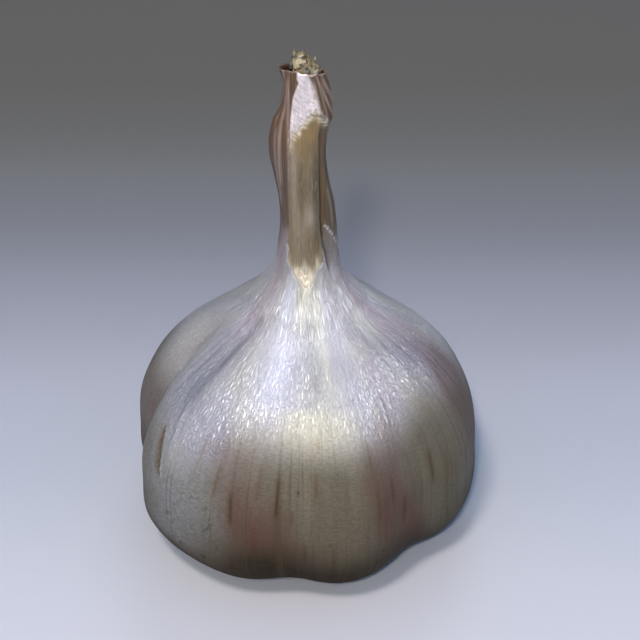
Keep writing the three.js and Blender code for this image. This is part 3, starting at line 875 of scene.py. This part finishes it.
def pleat_lines(angle, along, height):
    """Lengthwise pleats from -1 in the valleys to 1 on the ridges, slanting on the flap at the right."""
    slant = np.where(flap_share(angle, height, 77, 79) > 0, 5.5, 0.35) * (height - 60)
    return ridges(5, angle + slant, along, 68, 20.0)


def neck_relief(angle, along, height, radius):
    """Relief in millimetres: lengthwise pleats, deeper to the sides and slanting on the flap, a raised
    flap on the right, two grooves, and small cross wrinkles in front."""
    front = bell(angle - NECK_FRONT_AT, NECK_FRONT_SPREAD)
    upper = ease(*UPPER_NECK_EDGE, height)
    pleat_height = upper * (1 - 0.85 * front) * (0.07 + 0.09 * ease(*PLEAT_EDGE, height))
    pleats = pleat_lines(angle, along, height) * pleat_height
    threads = layers_of(ridges, angle, along, NECK_THREADS) * (1 - 0.5 * front)
    crinkle = layers_of(ridges, angle, along, NECK_CRINKLE) * (1 - upper)
    wrinkles = layers_of(patches, angle + 11 * (height - 80), along, FRONT_WRINKLES) * front
    raised = FLAP_HEIGHT * flap_share(angle, height, 78, 80)
    raised = raised + NECK_RIDGE_HEIGHT * stroke(angle, height, radius, NECK_RIDGES, NECK_RIDGE_HALF)
    relief = pleats + threads + crinkle + wrinkles * ease(*WRINKLE_EDGE, height) + raised
    return (relief - bands(angle, height, NECK_GROOVES)) * ease(NECK_FOOT, NECK_FOOT + 3, height)


def window_gap(angle, along, height, radius):
    """Distance inside the torn window in the front of the neck, with a ragged edge."""
    turn = np.radians(angle)
    ragged = layers_of(patches, angle, along, HIGH_WINDOW_RAGS) * ease(*RAGGED_EDGE, height)
    ragged = ragged + layers_of(patches, angle, along, WINDOW_RAGS)
    gap = distance_inside(WINDOW, radius * np.cos(turn), height) + ragged
    behind = ease(WINDOW_BACK - 0.25, WINDOW_BACK + 0.1, radius * np.sin(turn))
    return np.where(gap > 0, gap * (1 - behind) - 0.3 * behind, gap - behind)


def tear_height(angle):
    """Height of the torn diagonal line across the right wing of the neck."""
    height, at = np.array(TORN_WING).T
    return np.interp(angle, at, height)


def skin_angles():
    """Angles round the bulb, closer together in front than behind."""
    share = np.arange(SKIN_COLUMNS) / SKIN_COLUMNS
    angle = FRONT + TURN * share - FRONT_CROWDING * TURN / (2 * np.pi) * np.sin(2 * np.pi * share)
    return np.mod(angle, TURN)[:, None]


def build_skin():
    """One closed surface: up over the cloves and the neck, over the lip and down into the mouth."""
    outline, along_body = paced(spline(BULB_OUTLINE, SPLINE_STEPS), BODY_ROWS)
    around, along, radius, level = np.broadcast_arrays(skin_angles(), along_body, *outline.T)
    body = [
        clove_surface(around, radius, level), around, along, radius,
        np.full_like(level, FAR_FROM_WINDOW), np.ones_like(level), body_relief(around, along, level, radius),
    ]

    foot_levels = np.linspace(NECK_FOOT, FOOT_TOP, FOOT_ROWS + 1)[1:]
    neck_levels = np.linspace(FOOT_TOP, NECK_TOP, NECK_ROWS + 1)[1:]
    around, level = np.broadcast_arrays(skin_angles(), np.concatenate([foot_levels, neck_levels]))
    along = along_body[-1] + (level - NECK_FOOT)
    radius = neck_radius(around, level)
    gap = window_gap(around, along, level, radius)
    covered = 1 - ease(-0.4, 0.1, gap)
    edge_gap, edge_width, edge_height = EDGE_RIM
    relief = neck_relief(around, along, level, radius) * covered
    relief = relief + edge_height * hump(gap, edge_gap, edge_width) * ease(*GLOSSY_EDGE, level)
    lifted = level + rim_rise(around) * ease(NECK_TOP - RIM_BLEND, NECK_TOP, level)
    neck = [turned(radius - SKIN_DIP * ease(0.0, DIP_FULL, gap), around, lifted), around, along, radius, gap,
            covered, relief]

    surface, angle, along, radius, gap, covered, relief = [
        np.concatenate(pair, axis=1) for pair in zip(body, neck)
    ]
    relief = relief + join_relief(angle, along, surface[..., 2]) * covered
    surface = surface + surface_normals(surface) * relief[..., None]
    close_skin(surface, skin_marks(angle, surface[..., 2], along, radius, gap), angle[:, :1])


def skin_marks(angle, height, along, radius, gap):
    """Where each tint and finish lies, and where painted shade and painted highlights lie in the colour, as
    smooth bands, patches and strokes of angle and height.
    """
    wander, blotch, fine_blotch = [
        layers_of(patches, angle, along, rows) for rows in (WANDER, BLOTCH, FINE_BLOTCH)
    ]
    # Where the silver shoulders give way to the darker beige below, set by the angle. This is partly the
    # skin's own tone and partly painted shade on the lower body.
    low = 1 - ease(*BEIGE_EDGE, height - bells(angle, BEIGE_RISE) + wander * 0.3)
    neck = ease(*NECK_TINT_EDGE, height)
    body = 1 - neck
    # Painted shade, darker towards the bottom of the bulb, a little less on the left clove.
    bottom_shade = 1 - ease(*BOTTOM_SHADE_EDGE, height + wander * 0.4)
    bottom_shade = bottom_shade * (1 - 0.5 * bell(angle - 224, 16) * ease(7, 12, height))
    shifted = angle + 0.5 * wander
    glossy = ease(-2, 2, angle - along_line(GLOSSY_LEFT, height)) * (angle > 200)
    glossy = glossy * ease(-2, 2, along_line(FLAP_EDGE, height) - angle) * (angle < 318)
    glossy = glossy * ease(*GLOSSY_EDGE, height)
    above_tear = height - tear_height(angle) - 0.5 * fine_blotch
    below_tear = 1 - ease(-0.4, 0.4, above_tear)
    right_wing = span(angle, *RIGHT_WING)
    dry = ease(*DRY_EDGE, height + 2.5 * blotch) * (1 - glossy) * (1 - right_wing * below_tear)
    # Painted highlight: the warm pale band across the front, cut off sharply at its upper edge, and the patch
    # at the neck foot.
    highlight_top = 1 - CREAM_HIGHLIGHT_DROP * ease(*CREAM_HIGHLIGHT_TOP, height + 0.35 * fine_blotch)
    cream_and_highlight = clouds(angle, height, CREAM_HIGHLIGHT_BAND) * highlight_top + clouds(angle, height, CREAM_HIGHLIGHT_FOOT)
    left_tear = span(height, *LEFT_TEAR_BAND) * (angle < 258) * ease(-0.4, 0.3, fine_blotch)
    torn = hump(gap, -0.12, 0.12) * 0.7 * np.clip(ease(75, 77, height) + left_tear, 0, 1)
    torn = torn + 0.8 * hump(above_tear, -0.15, 0.18) * right_wing
    slit = slit_depth(angle, height)
    slit_edge = slit_depth(angle - 1.4, height) * (1 - slit) * (1 - ease(23, 26, height))
    specks = sum(hump(np.radians(angle - at) * radius, 0, size) * hump(height, level, size)
                 for at, level, size in SPECKS)
    right_furrow = bell(angle - along_line(RIGHT_FURROW, height), RIGHT_FURROW_SPREAD)
    right_furrow = RIGHT_FURROW_SHARE * (right_furrow * span(height, *RIGHT_FURROW_BAND))
    # Painted shade in the furrows between the cloves, along the shoulders' fold lines and on the ridge in
    # front.
    furrow_shade = furrow(angle, height) + right_furrow + clouds(angle, height, RIDGE_SHADE)
    shoulder_line_shade = stroke(angle, height, radius, SHOULDER_SHADE_LINES, SHOULDER_SHADE_HALF)
    scar = scar_step(angle, height)
    scar_edge_shadow = scar * (1 - scar) * ease(*SCAR_EDGE, height)
    rim_light = ease(NECK_TOP - 0.25, NECK_TOP, height - rim_rise(angle)) * bell(angle - 280, 50)
    shares = {
        "low": np.clip(low, 0, 1) * body,
        "grey": np.clip(bells(angle, GREY_AND_LIT_LEFT), 0, 1) * ease(*GREY_EDGE, height),
        "bottom_shade": bottom_shade + clouds(angle, height, LEFT_BOTTOM_SHADE),
        "mauve": clouds(shifted, height, MAUVE) * body,
        "lilac": bands(angle, height, LILAC) * (0.7 + 0.3 * blotch),
        "tan": right_wing * below_tear * ease(*TAN_EDGE, height + blotch) * 0.85,
        "upper": 1 - ease(9, 17, radius),
        "red_brown": clouds(shifted, height, RED_BROWN) * body,
        "olive": clouds(shifted, height, OLIVE) * body + bands(angle, height, RIGHT_OLIVE) * (1 - below_tear)
        + 1.2 * slit,
        "dry": dry,
        # Where the pleats' ridges and valleys lie, for their painted highlights and shade.
        "pleat_shading": 0.5 + 0.5 * pleat_lines(angle, along, height) * (0.3 + 0.7 * ease(*PLEAT_EDGE, height)),
        "glossy": glossy,
        # Painted highlights: pale lines on the raised neck ridges and along the front of the rim's top edge.
        "rim": 0.4 * stroke(angle, height, radius, NECK_RIDGES, RIDGE_HIGHLIGHT_HALF) * neck + rim_light,
        "cream_and_highlight": cream_and_highlight,
        "gleam": clouds(angle, height, PAINTED_GLEAM),
        "streak": stroke(angle, height, radius, STREAKS, STREAK_HALF) + 0.5 * slit_depth(angle + 1.2, height),
        "furrow": np.clip(furrow_shade + shoulder_line_shade, 0, 1) * body,
        "rust": stroke(angle, height, radius, STREAKS, RUST_HALF) + 0.9 * slit
        + bands(angle, height, RUSTY_BAND),
        # Dark mark: real dark specks, plus painted shade in the neck's creases and along the edge of the
        # healed flap.
        "dark": bands(angle, height, NECK_CREASE_SHADE) + 0.9 * specks + 1.28 * scar_edge_shadow,
        "torn": torn + 0.3 * slit_edge,
        "matte": low * body + dry * 0.8 + clouds(angle, height, DULL_SPOT),
    }
    marks = {name: np.clip(share, 0, 1) for name, share in shares.items()}
    return {"grain": turned(1, angle, along / GRAIN_LENGTH), **marks}


def close_skin(surface, marks, angle):
    """Joins the rows to a closed mesh: all the columns on the cloves, half of them on the neck foot and a
    quarter on the neck, then the lip and the mouth, whose wall thickens downwards."""
    angle, rim = angle[::4], surface[::4, -1]
    share = np.linspace(0, 1, POCKET_ROWS)
    level = rim[:, 2:] * (1 - share) + (POCKET_FLOOR + POCKET_LIFT) * share - LIP_DROP
    outer = neck_radius(angle, np.clip(level, POCKET_FROM, NECK_TOP))
    reach = np.hypot(rim[:, :1], rim[:, 1:2])
    inner = np.minimum(outer, reach + share) - LIP - LIP_GROWTH * ease(0, 1, share)
    pocket = turned(inner, angle, level)

    fine_rows = BODY_ROWS - SHOULDER_ROWS
    half_rows = SHOULDER_ROWS + FOOT_ROWS
    bands_of_rows = [  # first row, last row, stride over the columns
        (0, fine_rows, 1), (fine_rows, fine_rows + half_rows, 2),
        (fine_rows + half_rows, surface.shape[1], 4),
    ]
    quads, triangles, first = [], [], 0
    for low, high, stride in bands_of_rows:
        columns = SKIN_COLUMNS // stride
        rows = high - low + (POCKET_ROWS if stride == 4 else 0)
        starts = first + np.arange(rows) * columns
        if stride > 1:
            triangles.append(halving_band(first - 2 * columns, first, columns))
        quads.append(grid_quads(starts, columns))
        first = starts[-1] + columns
    triangles.append(fan(0, SKIN_COLUMNS, first, upwards=False))
    triangles.append(fan(first - columns, columns, first + 1, upwards=True))

    def row_after_row(values, mouth):
        """The values of each band and of the mouth in the order of the mesh."""
        parts = [values[::stride, low:high] for low, high, stride in bands_of_rows] + [mouth]
        return np.concatenate([part.swapaxes(0, 1).reshape(-1, *values.shape[2:]) for part in parts])

    ends = [[0, 0, RECESS_ROOF], [0, 0, POCKET_FLOOR]]
    places = np.concatenate([row_after_row(surface, pocket), ends])
    spread = {}
    for name, values in marks.items():
        mouth = np.repeat(values[::4, -1:], POCKET_ROWS, axis=1)
        # Painted shade inside the mouth of the neck.
        if name == "dark":
            mouth = 0.9 * ease(0.0, 0.2, share) + 0 * mouth
        if name == "rim":
            mouth = mouth * (1 - ease(0.0, 0.1, share))
        joined = row_after_row(values, mouth)
        spread[name] = np.concatenate([joined, joined[:1], joined[-1:]])
    faces = np.concatenate(quads).tolist() + np.concatenate(triangles).tolist()
    make_piece("bulb_skin", places, faces, spread, papery_skin(), "bulb")


# ---------- the dry stem ----------

STEM_COLUMNS, STEM_ROWS, WALL_ROWS, CAP_ROWS = 240, 210, 12, 26
STEM_UNDER_SKIN = 0.1
STEM_BELOW = 46.0
STEM_FIBRES = [(31, 40, 16.0, 0.05), (32, 110, 5.0, 0.03)]  # seed, count round the turn, length, height
STEM_CROSS = [(33, 40, 0.7, 0.035)]
STEM_HOLLOWS = [(37, 12, 7.0, 0.1)]
STEM_FOOT_FOLDS = [(38, 70, 1.4, 0.05)]
STEM_WALL = [(35, 40, 0.5, 0.05)]
STEM_FOOT_BLOTCH = [(39, 40, 2.0, 1.5)]
END_CHIPS = [(34, 14, 0.7, 1.0), (36, 30, 0.45, 0.6)]
CHIP_HEIGHT = 0.42
STEM_GROOVE_AT, STEM_GROOVE_HALF, STEM_GROOVE_DEPTH = 321, 3.0, 0.45
# Painted highlight along the left edge of the column, and paler patches on its front.
STEM_HIGHLIGHT_AND_PALE = [  # angle, height, half angle, half height, strength
    (238, 74, 10, 6, 0.9), (240, 64, 10, 7, 0.4), (284, 62.8, 13, 2.8, 0.9), (262, 60, 10, 4, 0.35),
]
STEM_OLIVE = [
    (266, 67.5, 14, 3.5, 0.7), (280, 77, 12, 3, 0.4), (305, 71, 12, 8, 0.7), (272, 56.5, 12, 2.5, 0.35),
    (305, 58, 10, 4, 0.4), (255, 70.5, 8, 2.5, 0.4), (299, 64, 9, 9, 0.6),
]
END_OUTLINE = [  # x, height: the broken end from the left to the right
    (-2.6, 88.0), (-2.0, 88.8), (-1.75, 89.8), (-1.55, 91.0), (-1.2, 90.6), (-0.8, 90.9), (-0.25, 91.0),
    (0.1, 90.6), (0.8, 90.0), (1.3, 89.5), (1.9, 89.0), (2.5, 88.4), (3.0, 87.8),
]
END_CREST_Y, END_LOW = -0.2, 87.6
SHARDS = [  # foot x, foot y, tip x, tip y, foot height, tip height, half width
    (-1.4, -0.5, -1.66, -0.45, 88.9, 91.8, 0.62), (-0.45, -0.2, -0.25, -0.1, 89.4, 91.3, 0.5),
    (0.85, -0.9, 1.0, -0.85, 88.2, 90.0, 0.5), (1.6, -0.9, 1.85, -0.9, 87.6, 89.3, 0.5),
    (2.25, -0.4, 2.65, -0.4, 87.0, 88.8, 0.42), (-1.0, 0.9, -1.2, 1.0, 88.5, 90.9, 0.5),
    (0.3, 1.1, 0.3, 1.2, 88.4, 90.8, 0.5), (1.5, 0.8, 1.8, 0.9, 87.8, 89.7, 0.45),
]
SHARD_RINGS, SHARD_SIDES, SHARD_SEED = 9, 10, 51
SHARD_BEND, SHARD_TAPER, SHARD_FLATNESS, SHARD_POINT = 0.12, 0.98, 0.5, 0.05
PALE_SHARDS, DARK_SHARDS = (2, 3), (0, 6)
KNOB = (-2.0, -1.1, 88.95, 0.42, 0.8)  # x, y, height, half width, half height


def build_stem():
    """A ribbed tapering column, lying just under the skin where the window shows it, closed by an uneven
    broken end that bristles with split fibres."""
    levels = np.linspace(STEM_OUTLINE[0][0], STEM_OUTLINE[-1][0], STEM_ROWS)
    angle = (np.arange(STEM_COLUMNS) * TURN / STEM_COLUMNS)[:, None]
    turn, along = np.broadcast_arrays(np.radians(angle), levels)
    radius = reach_at(STEM_OUTLINE, along) * (1 + STEM_RIB_SHARE * np.cos(STEM_RIBS * turn))
    flat = 1 - STEM_FLAT * ease(STEM_FLAT_FROM, STEM_FLAT_TO, along)
    x, y = STEM_AXIS_X + radius * np.cos(turn), radius * flat * np.sin(turn)
    spot = bearing(x, y)
    cover = neck_radius(spot, along)
    gap = window_gap(spot, along, along, cover)
    shown = ease(-0.7, 0.05, gap)
    reach = np.hypot(x, y)
    reach = reach + (cover - STEM_UNDER_SKIN * ease(50, 54, along) - reach) * shown
    relief = layers_of(ridges, spot, along, STEM_FIBRES) + layers_of(patches, spot, along, STEM_HOLLOWS)
    relief = relief + layers_of(patches, spot + 8 * (along - 76), along, STEM_CROSS) * ease(72, 76, along)
    relief = relief + layers_of(ridges, spot, along, STEM_FOOT_FOLDS) * (1 - ease(54, 57, along))
    groove = STEM_GROOVE_DEPTH * hump(spot, STEM_GROOVE_AT, STEM_GROOVE_HALF) * (1 - ease(70, 76, along))
    column = turned(reach + relief * (0.3 + 0.7 * shown) - groove * shown, spot, along)

    share = np.linspace(0, 1, WALL_ROWS)[None, 1:]
    inward = np.linspace(0, 1, CAP_ROWS)[1:-1, None]
    edge = column[:, -1:, :2] - [STEM_AXIS_X, 0]
    narrowed = (1 - 0.1 * share + layers_of(patches, angle, 3 * share, STEM_WALL))[..., None]
    wall = edge * narrowed + [STEM_AXIS_X, 0]
    cap = edge * narrowed[:, -1:] * (1 - inward) + [STEM_AXIS_X, 0]
    wall_level = levels[-1] + (broken_height(wall[:, -1:]) - levels[-1]) * share
    middle = [STEM_AXIS_X, 0.0, broken_height(np.array([STEM_AXIS_X, 0.0]))]
    surface = np.concatenate([
        column, np.concatenate([wall, wall_level[..., None]], -1),
        np.concatenate([cap, broken_height(cap)[..., None]], -1),
    ], axis=1)

    places, faces = closed_tubes(
        surface.swapaxes(0, 1)[None], np.array([[[STEM_AXIS_X, 0, STEM_BELOW], middle]]).astype(float)
    )
    level = surface[..., 2]
    spot = bearing(surface[..., 0], surface[..., 1])
    wing = ease(319, 322, spot) * (spot < FLAP_STOP) * (1 - ease(86, 88, level))
    foot_edge = level + layers_of(patches, spot, level, STEM_FOOT_BLOTCH)
    frayed = (1 - ease(0.1, 1.3, gap)) * ease(73.5, 76, along)
    marks = {
        "grain": turned(1, angle, level / GRAIN_LENGTH),
        "pale": (1 - ease(52, 56, foot_edge)) * (1 - wing),
        "golden": hump(level, 79, 4) * (1 - wing),
        "light": clouds(spot, level, STEM_HIGHLIGHT_AND_PALE),
        "olive": clouds(spot, level, STEM_OLIVE),
        "wing": wing,
        "broken": ease(87.3, 87.9, level),
        # Painted shade in the groove beside the right wing.
        "dark": 0.85 * hump(spot, STEM_GROOVE_AT, 2.4) * span(level, 50, 53, 74, 80),
        "torn": np.pad(frayed, ((0, 0), (0, surface.shape[1] - STEM_ROWS))),
    }
    shard_places, shard_faces, shard_marks = split_fibres(len(places))
    nothing = np.zeros(len(shard_places))
    marks = {name: np.concatenate([ring_values(values), shard_marks.get(name, nothing)])
             for name, values in marks.items()}
    make_piece("dry_stem", np.concatenate([places, shard_places]), faces + shard_faces, marks,
               dry_stalk(), "stem")


def broken_height(place):
    """Height of the broken end over a place: the outline's height on the crest line, falling towards the
    front and the back, with chips of uneven height."""
    x, y = place[..., 0], place[..., 1]
    crest = np.interp(x, *np.array(END_OUTLINE).T)
    fall = ease(0, 2.4, np.abs(y - END_CREST_Y))
    out = np.hypot(x - STEM_AXIS_X, y)
    chips = layers_of(patches, bearing(x - STEM_AXIS_X, y), out, END_CHIPS)
    return END_LOW + (crest - END_LOW) * (1 - fall) + CHIP_HEIGHT * chips


def split_fibres(first):
    """Flattened spikes that narrow from foot to tip along a bent line, with one rounded dark knob among them.
    Their half width is (1 - 0.98 s^1.6)^0.8 of its size at the foot, a share s of the way up."""
    rings, sides = SHARD_RINGS, SHARD_SIDES
    rows = np.array(SHARDS)
    share = np.linspace(0, 1, rings)[None, :]
    foot, tip = rows[:, (0, 1, 4)], rows[:, (2, 3, 5)]
    draw = np.random.default_rng(SHARD_SEED)
    line = foot[:, None] + (tip - foot)[:, None] * share[..., None]
    line[..., :2] += SHARD_BEND * draw.uniform(-1, 1, (len(rows), 1, 2)) * np.sin(np.pi * share)[..., None]
    uneven = 1 + 0.2 * draw.uniform(-1, 1, (len(rows), rings))
    half = rows[:, 6:7] * (1 - SHARD_TAPER * share ** 1.6) ** 0.8 * uneven
    around = np.arange(sides) * 2 * np.pi / sides
    facing = draw.uniform(0, np.pi, (len(rows), 1, 1))
    wide, thin = np.cos(around) * half[..., None], SHARD_FLATNESS * np.sin(around) * half[..., None]
    rough = 1 + 0.18 * draw.uniform(-1, 1, (len(rows), rings, sides))
    offset = np.stack([
        (wide * np.cos(facing) - thin * np.sin(facing)) * rough,
        (wide * np.sin(facing) + thin * np.cos(facing)) * rough, 0 * wide,
    ], -1)
    x, y, level, wide_half, tall_half = KNOB
    rise = np.linspace(-np.pi / 2, np.pi / 2, rings + 2)[1:-1, None]
    reach = wide_half * np.cos(rise) * (1 + 0.15 * draw.uniform(-1, 1, (rings, sides)))
    knob = turned(reach, np.degrees(around), level + tall_half * np.sin(rise)) + [x, y, 0]
    blocks = np.concatenate([line[:, :, None] + offset, knob[None]])
    ends = blocks.mean(axis=2)[:, (0, -1)]
    ends[:, 1, 2] += SHARD_POINT
    places, faces = closed_tubes(blocks, ends, first)
    count = len(blocks)
    which = np.repeat(np.arange(count), len(places) // count)
    marks = {
        "grain": turned(1, bearing(places[:, 0], places[:, 1]), places[:, 2] / GRAIN_LENGTH),
        "pale": 0.8 * np.isin(which, PALE_SHARDS),
        "dark": 0.35 * np.isin(which, DARK_SHARDS) + 0.9 * (which == count - 1),
        "broken": np.ones(len(places)),
    }
    return places, faces, marks


# ---------- the root plate ----------

PLATE_PROFILE = np.array([  # radius, height
    [2, 0], [4, 0], [6, 0], [7.6, 0], [8.3, 0], [8.6, 0.15], [8.8, 0.5], [8.7, 1.2], [8.5, 2.2],
    [8.3, 3.1], [6, 3.1], [3, 3.1],
])
PLATE_SIDES = 96
PLATE_WAVES = [(41, 20, 1.0, 0.025)]  # seed, count round the turn, length, share
ROOT_SEED, ROOT_COUNT, ROOT_STEPS, ROOT_SIDES = 7, 84, 7, 6
ROOT_LEVELS = [0.75, 1.35, 1.95]
ROOT_FOOT, ROOT_OVERLAP, ROOT_TAPER, ROOT_TIP = 7.6, 0.8, 0.35, 0.12
ROOT_CLEARANCE = 0.02


def build_root_plate():
    """A shallow disc, flat below, with rings of short tapering roots that bend outwards and down: each goes
    straight out, sideways and down by the square of its share of the way."""
    angle = (np.arange(PLATE_SIDES) * TURN / PLATE_SIDES)[:, None]
    radius, level = PLATE_PROFILE.T
    uneven = 1 + layers_of(patches, angle, level, PLATE_WAVES)
    disc = turned(radius * uneven, angle, level)
    disc_places, disc_faces = closed_tubes(
        disc.swapaxes(0, 1)[None], np.array([[[0, 0, 0], [0, 0, PLATE_PROFILE[-1, 1]]]])
    )

    draw = np.random.default_rng(ROOT_SEED)
    order = np.arange(ROOT_COUNT)
    heading = np.radians(order * TURN / ROOT_COUNT + draw.uniform(-3, 3, ROOT_COUNT))
    start = np.choose(order % 3, ROOT_LEVELS) + draw.uniform(-0.1, 0.1, ROOT_COUNT)
    length, thick, drop, lean = [
        draw.uniform(low, high, ROOT_COUNT)[:, None]
        for low, high in ((1.2, 3.6), (0.32, 0.55), (-0.05, 0.35), (-0.5, 0.5))
    ]
    share = np.linspace(0, 1, ROOT_STEPS)
    out = ROOT_FOOT + share * (length + ROOT_OVERLAP)
    level = np.maximum(start[:, None] - 2 * drop * share ** 2, thick + ROOT_CLEARANCE)
    girth = thick * (1 - ROOT_TAPER * share)
    around = (np.arange(ROOT_SIDES) * 2 * np.pi / ROOT_SIDES)[:, None]
    forward = np.stack([np.cos(heading), np.sin(heading), 0 * heading], -1)
    beside = np.stack([-np.sin(heading), np.cos(heading), 0 * heading], -1)
    centre = forward[:, None] * out[..., None] + beside[:, None] * (lean * share ** 2)[..., None]
    centre[..., 2] = level
    offset = beside[:, None, None] * np.cos(around) + np.array([0, 0, 1.0]) * np.sin(around)
    ends = np.stack([centre[:, 0], centre[:, -1] + forward * ROOT_TIP], 1)
    places, faces = closed_tubes(centre[:, :, None] + offset * girth[..., None, None], ends, len(disc_places))
    pale = np.zeros((ROOT_COUNT, ROOT_STEPS * ROOT_SIDES + 2))
    pale[:, -2 - ROOT_SIDES:-2] = 0.5
    pale[:, -1] = 0.9
    marks = {"pale": np.concatenate([np.zeros(len(disc_places)), pale.ravel()])}
    make_piece("root_plate_roots", np.concatenate([disc_places, places]), disc_faces + faces, marks,
               corky_roots(), "root_plate")


# ---------- floor and light ----------

FLOOR_REACH = 3.0
# Painted light falloff on the floor: pale in front and darker behind.
FLOOR_FALLOFF_TONES = [  # distance back, tone: pale in front, grey behind
    (-40, "d8dae8"), (1, "c7ccdb"), (42, "b4b7c6"), (83, "91939e"), (124, "79797a"), (165, "6d6a66"),
]


def lay_floor():
    """A wide level floor with a painted falloff of light, pale in front and greyer behind: tones on a smooth
    curve of its distance back.
    """
    reach = FLOOR_REACH
    mesh = bpy.data.meshes.new("studio_floor")
    mesh.from_pydata([(-reach, -reach, 0), (reach, -reach, 0), (reach, reach, 0), (-reach, reach, 0)], [],
                     [(0, 1, 2, 3)])
    finish = Finish("studio_floor", Roughness=0.9, Specular_IOR_Level=0.1)
    back = finish.node("ShaderNodeSeparateXYZ", {"Vector": finish.place()}).outputs["Y"]
    first, last = FLOOR_FALLOFF_TONES[0][0], FLOOR_FALLOFF_TONES[-1][0]
    share = finish.maths("DIVIDE", finish.maths("SUBTRACT", back, first * MM), (last - first) * MM)
    ramp = finish.node("ShaderNodeValToRGB", {"Fac": share})
    ramp.color_ramp.interpolation = "CARDINAL"
    for place, (distance, tone) in enumerate(FLOOR_FALLOFF_TONES):
        if place > 1:
            ramp.color_ramp.elements.new(1.0)
        stop = ramp.color_ramp.elements[place]
        stop.position = (distance - first) / (last - first)
        stop.color = shade(tone)
    finish.feed(finish.shader.inputs["Base Color"], ramp.outputs["Color"])
    mesh.materials.append(finish.material)
    floor = put_in_scene("studio_floor", mesh)


LAMPS = [  # name, azimuth, elevation, distance, width, height, power, colour, only glints
    ("key_lamp", 264, 41.5, 0.9, 0.06, 0.06, 3.35, (1.0, 0.92, 0.79), False),
    ("front_glint", 268, 47, 0.9, 0.34, 0.10, 3.6, (1.0, 0.93, 0.80), True),
    ("low_glint", 268, 14, 0.9, 0.30, 0.12, 1.1, (1.0, 0.97, 0.95), True),
    ("sky_lamp", 248, 61, 1.1, 0.18, 0.16, 5.3, (1.0, 0.87, 0.73), False),
    ("back_lamp", 80, 50, 1.1, 0.45, 0.35, 1.6, (0.80, 0.88, 1.0), False),
    ("left_glint", 214, 47, 0.8, 0.38, 0.24, 12.0, (0.80, 0.86, 1.0), True),
    ("right_glint", 357, 28, 0.8, 0.42, 0.26, 13.5, (0.80, 0.86, 1.0), True),
]
AIM = (0.0, 0.0, 0.03)
FILL_TINT, FILL_STRENGTH = (0.46, 0.68, 1.0, 1), 0.36


def hang_lamps():
    """Area lamps round the object, each aimed at its middle."""
    for name, azimuth, elevation, distance, width, tall, power, tint, only_glints in LAMPS:
        lamp = bpy.data.lights.new(name, "AREA")
        lamp.shape = "RECTANGLE"
        lamp.size, lamp.size_y = width, tall
        lamp.energy = power
        lamp.color = tint
        holder = put_in_scene(name, lamp)
        holder.visible_diffuse = not only_glints
        turn, rise = math.radians(azimuth), math.radians(elevation)
        away = np.array([math.cos(turn) * math.cos(rise), math.sin(turn) * math.cos(rise), math.sin(rise)])
        holder.location = np.array(AIM) + away * distance
        holder.rotation_euler = (math.pi / 2 - rise, 0, turn + math.pi / 2)


def fill_with_soft_light():
    """Even bluish light from all sides, and plain colours without a film look."""
    world = bpy.data.worlds.new("studio_fill")
    world.use_nodes = True
    background = world.node_tree.nodes["Background"]
    background.inputs["Color"].default_value = FILL_TINT
    background.inputs["Strength"].default_value = FILL_STRENGTH
    bpy.context.scene.world = world
    bpy.context.scene.view_settings.view_transform = "Standard"


build_skin()
build_stem()
build_root_plate()
lay_floor()
hang_lamps()
fill_with_soft_light()
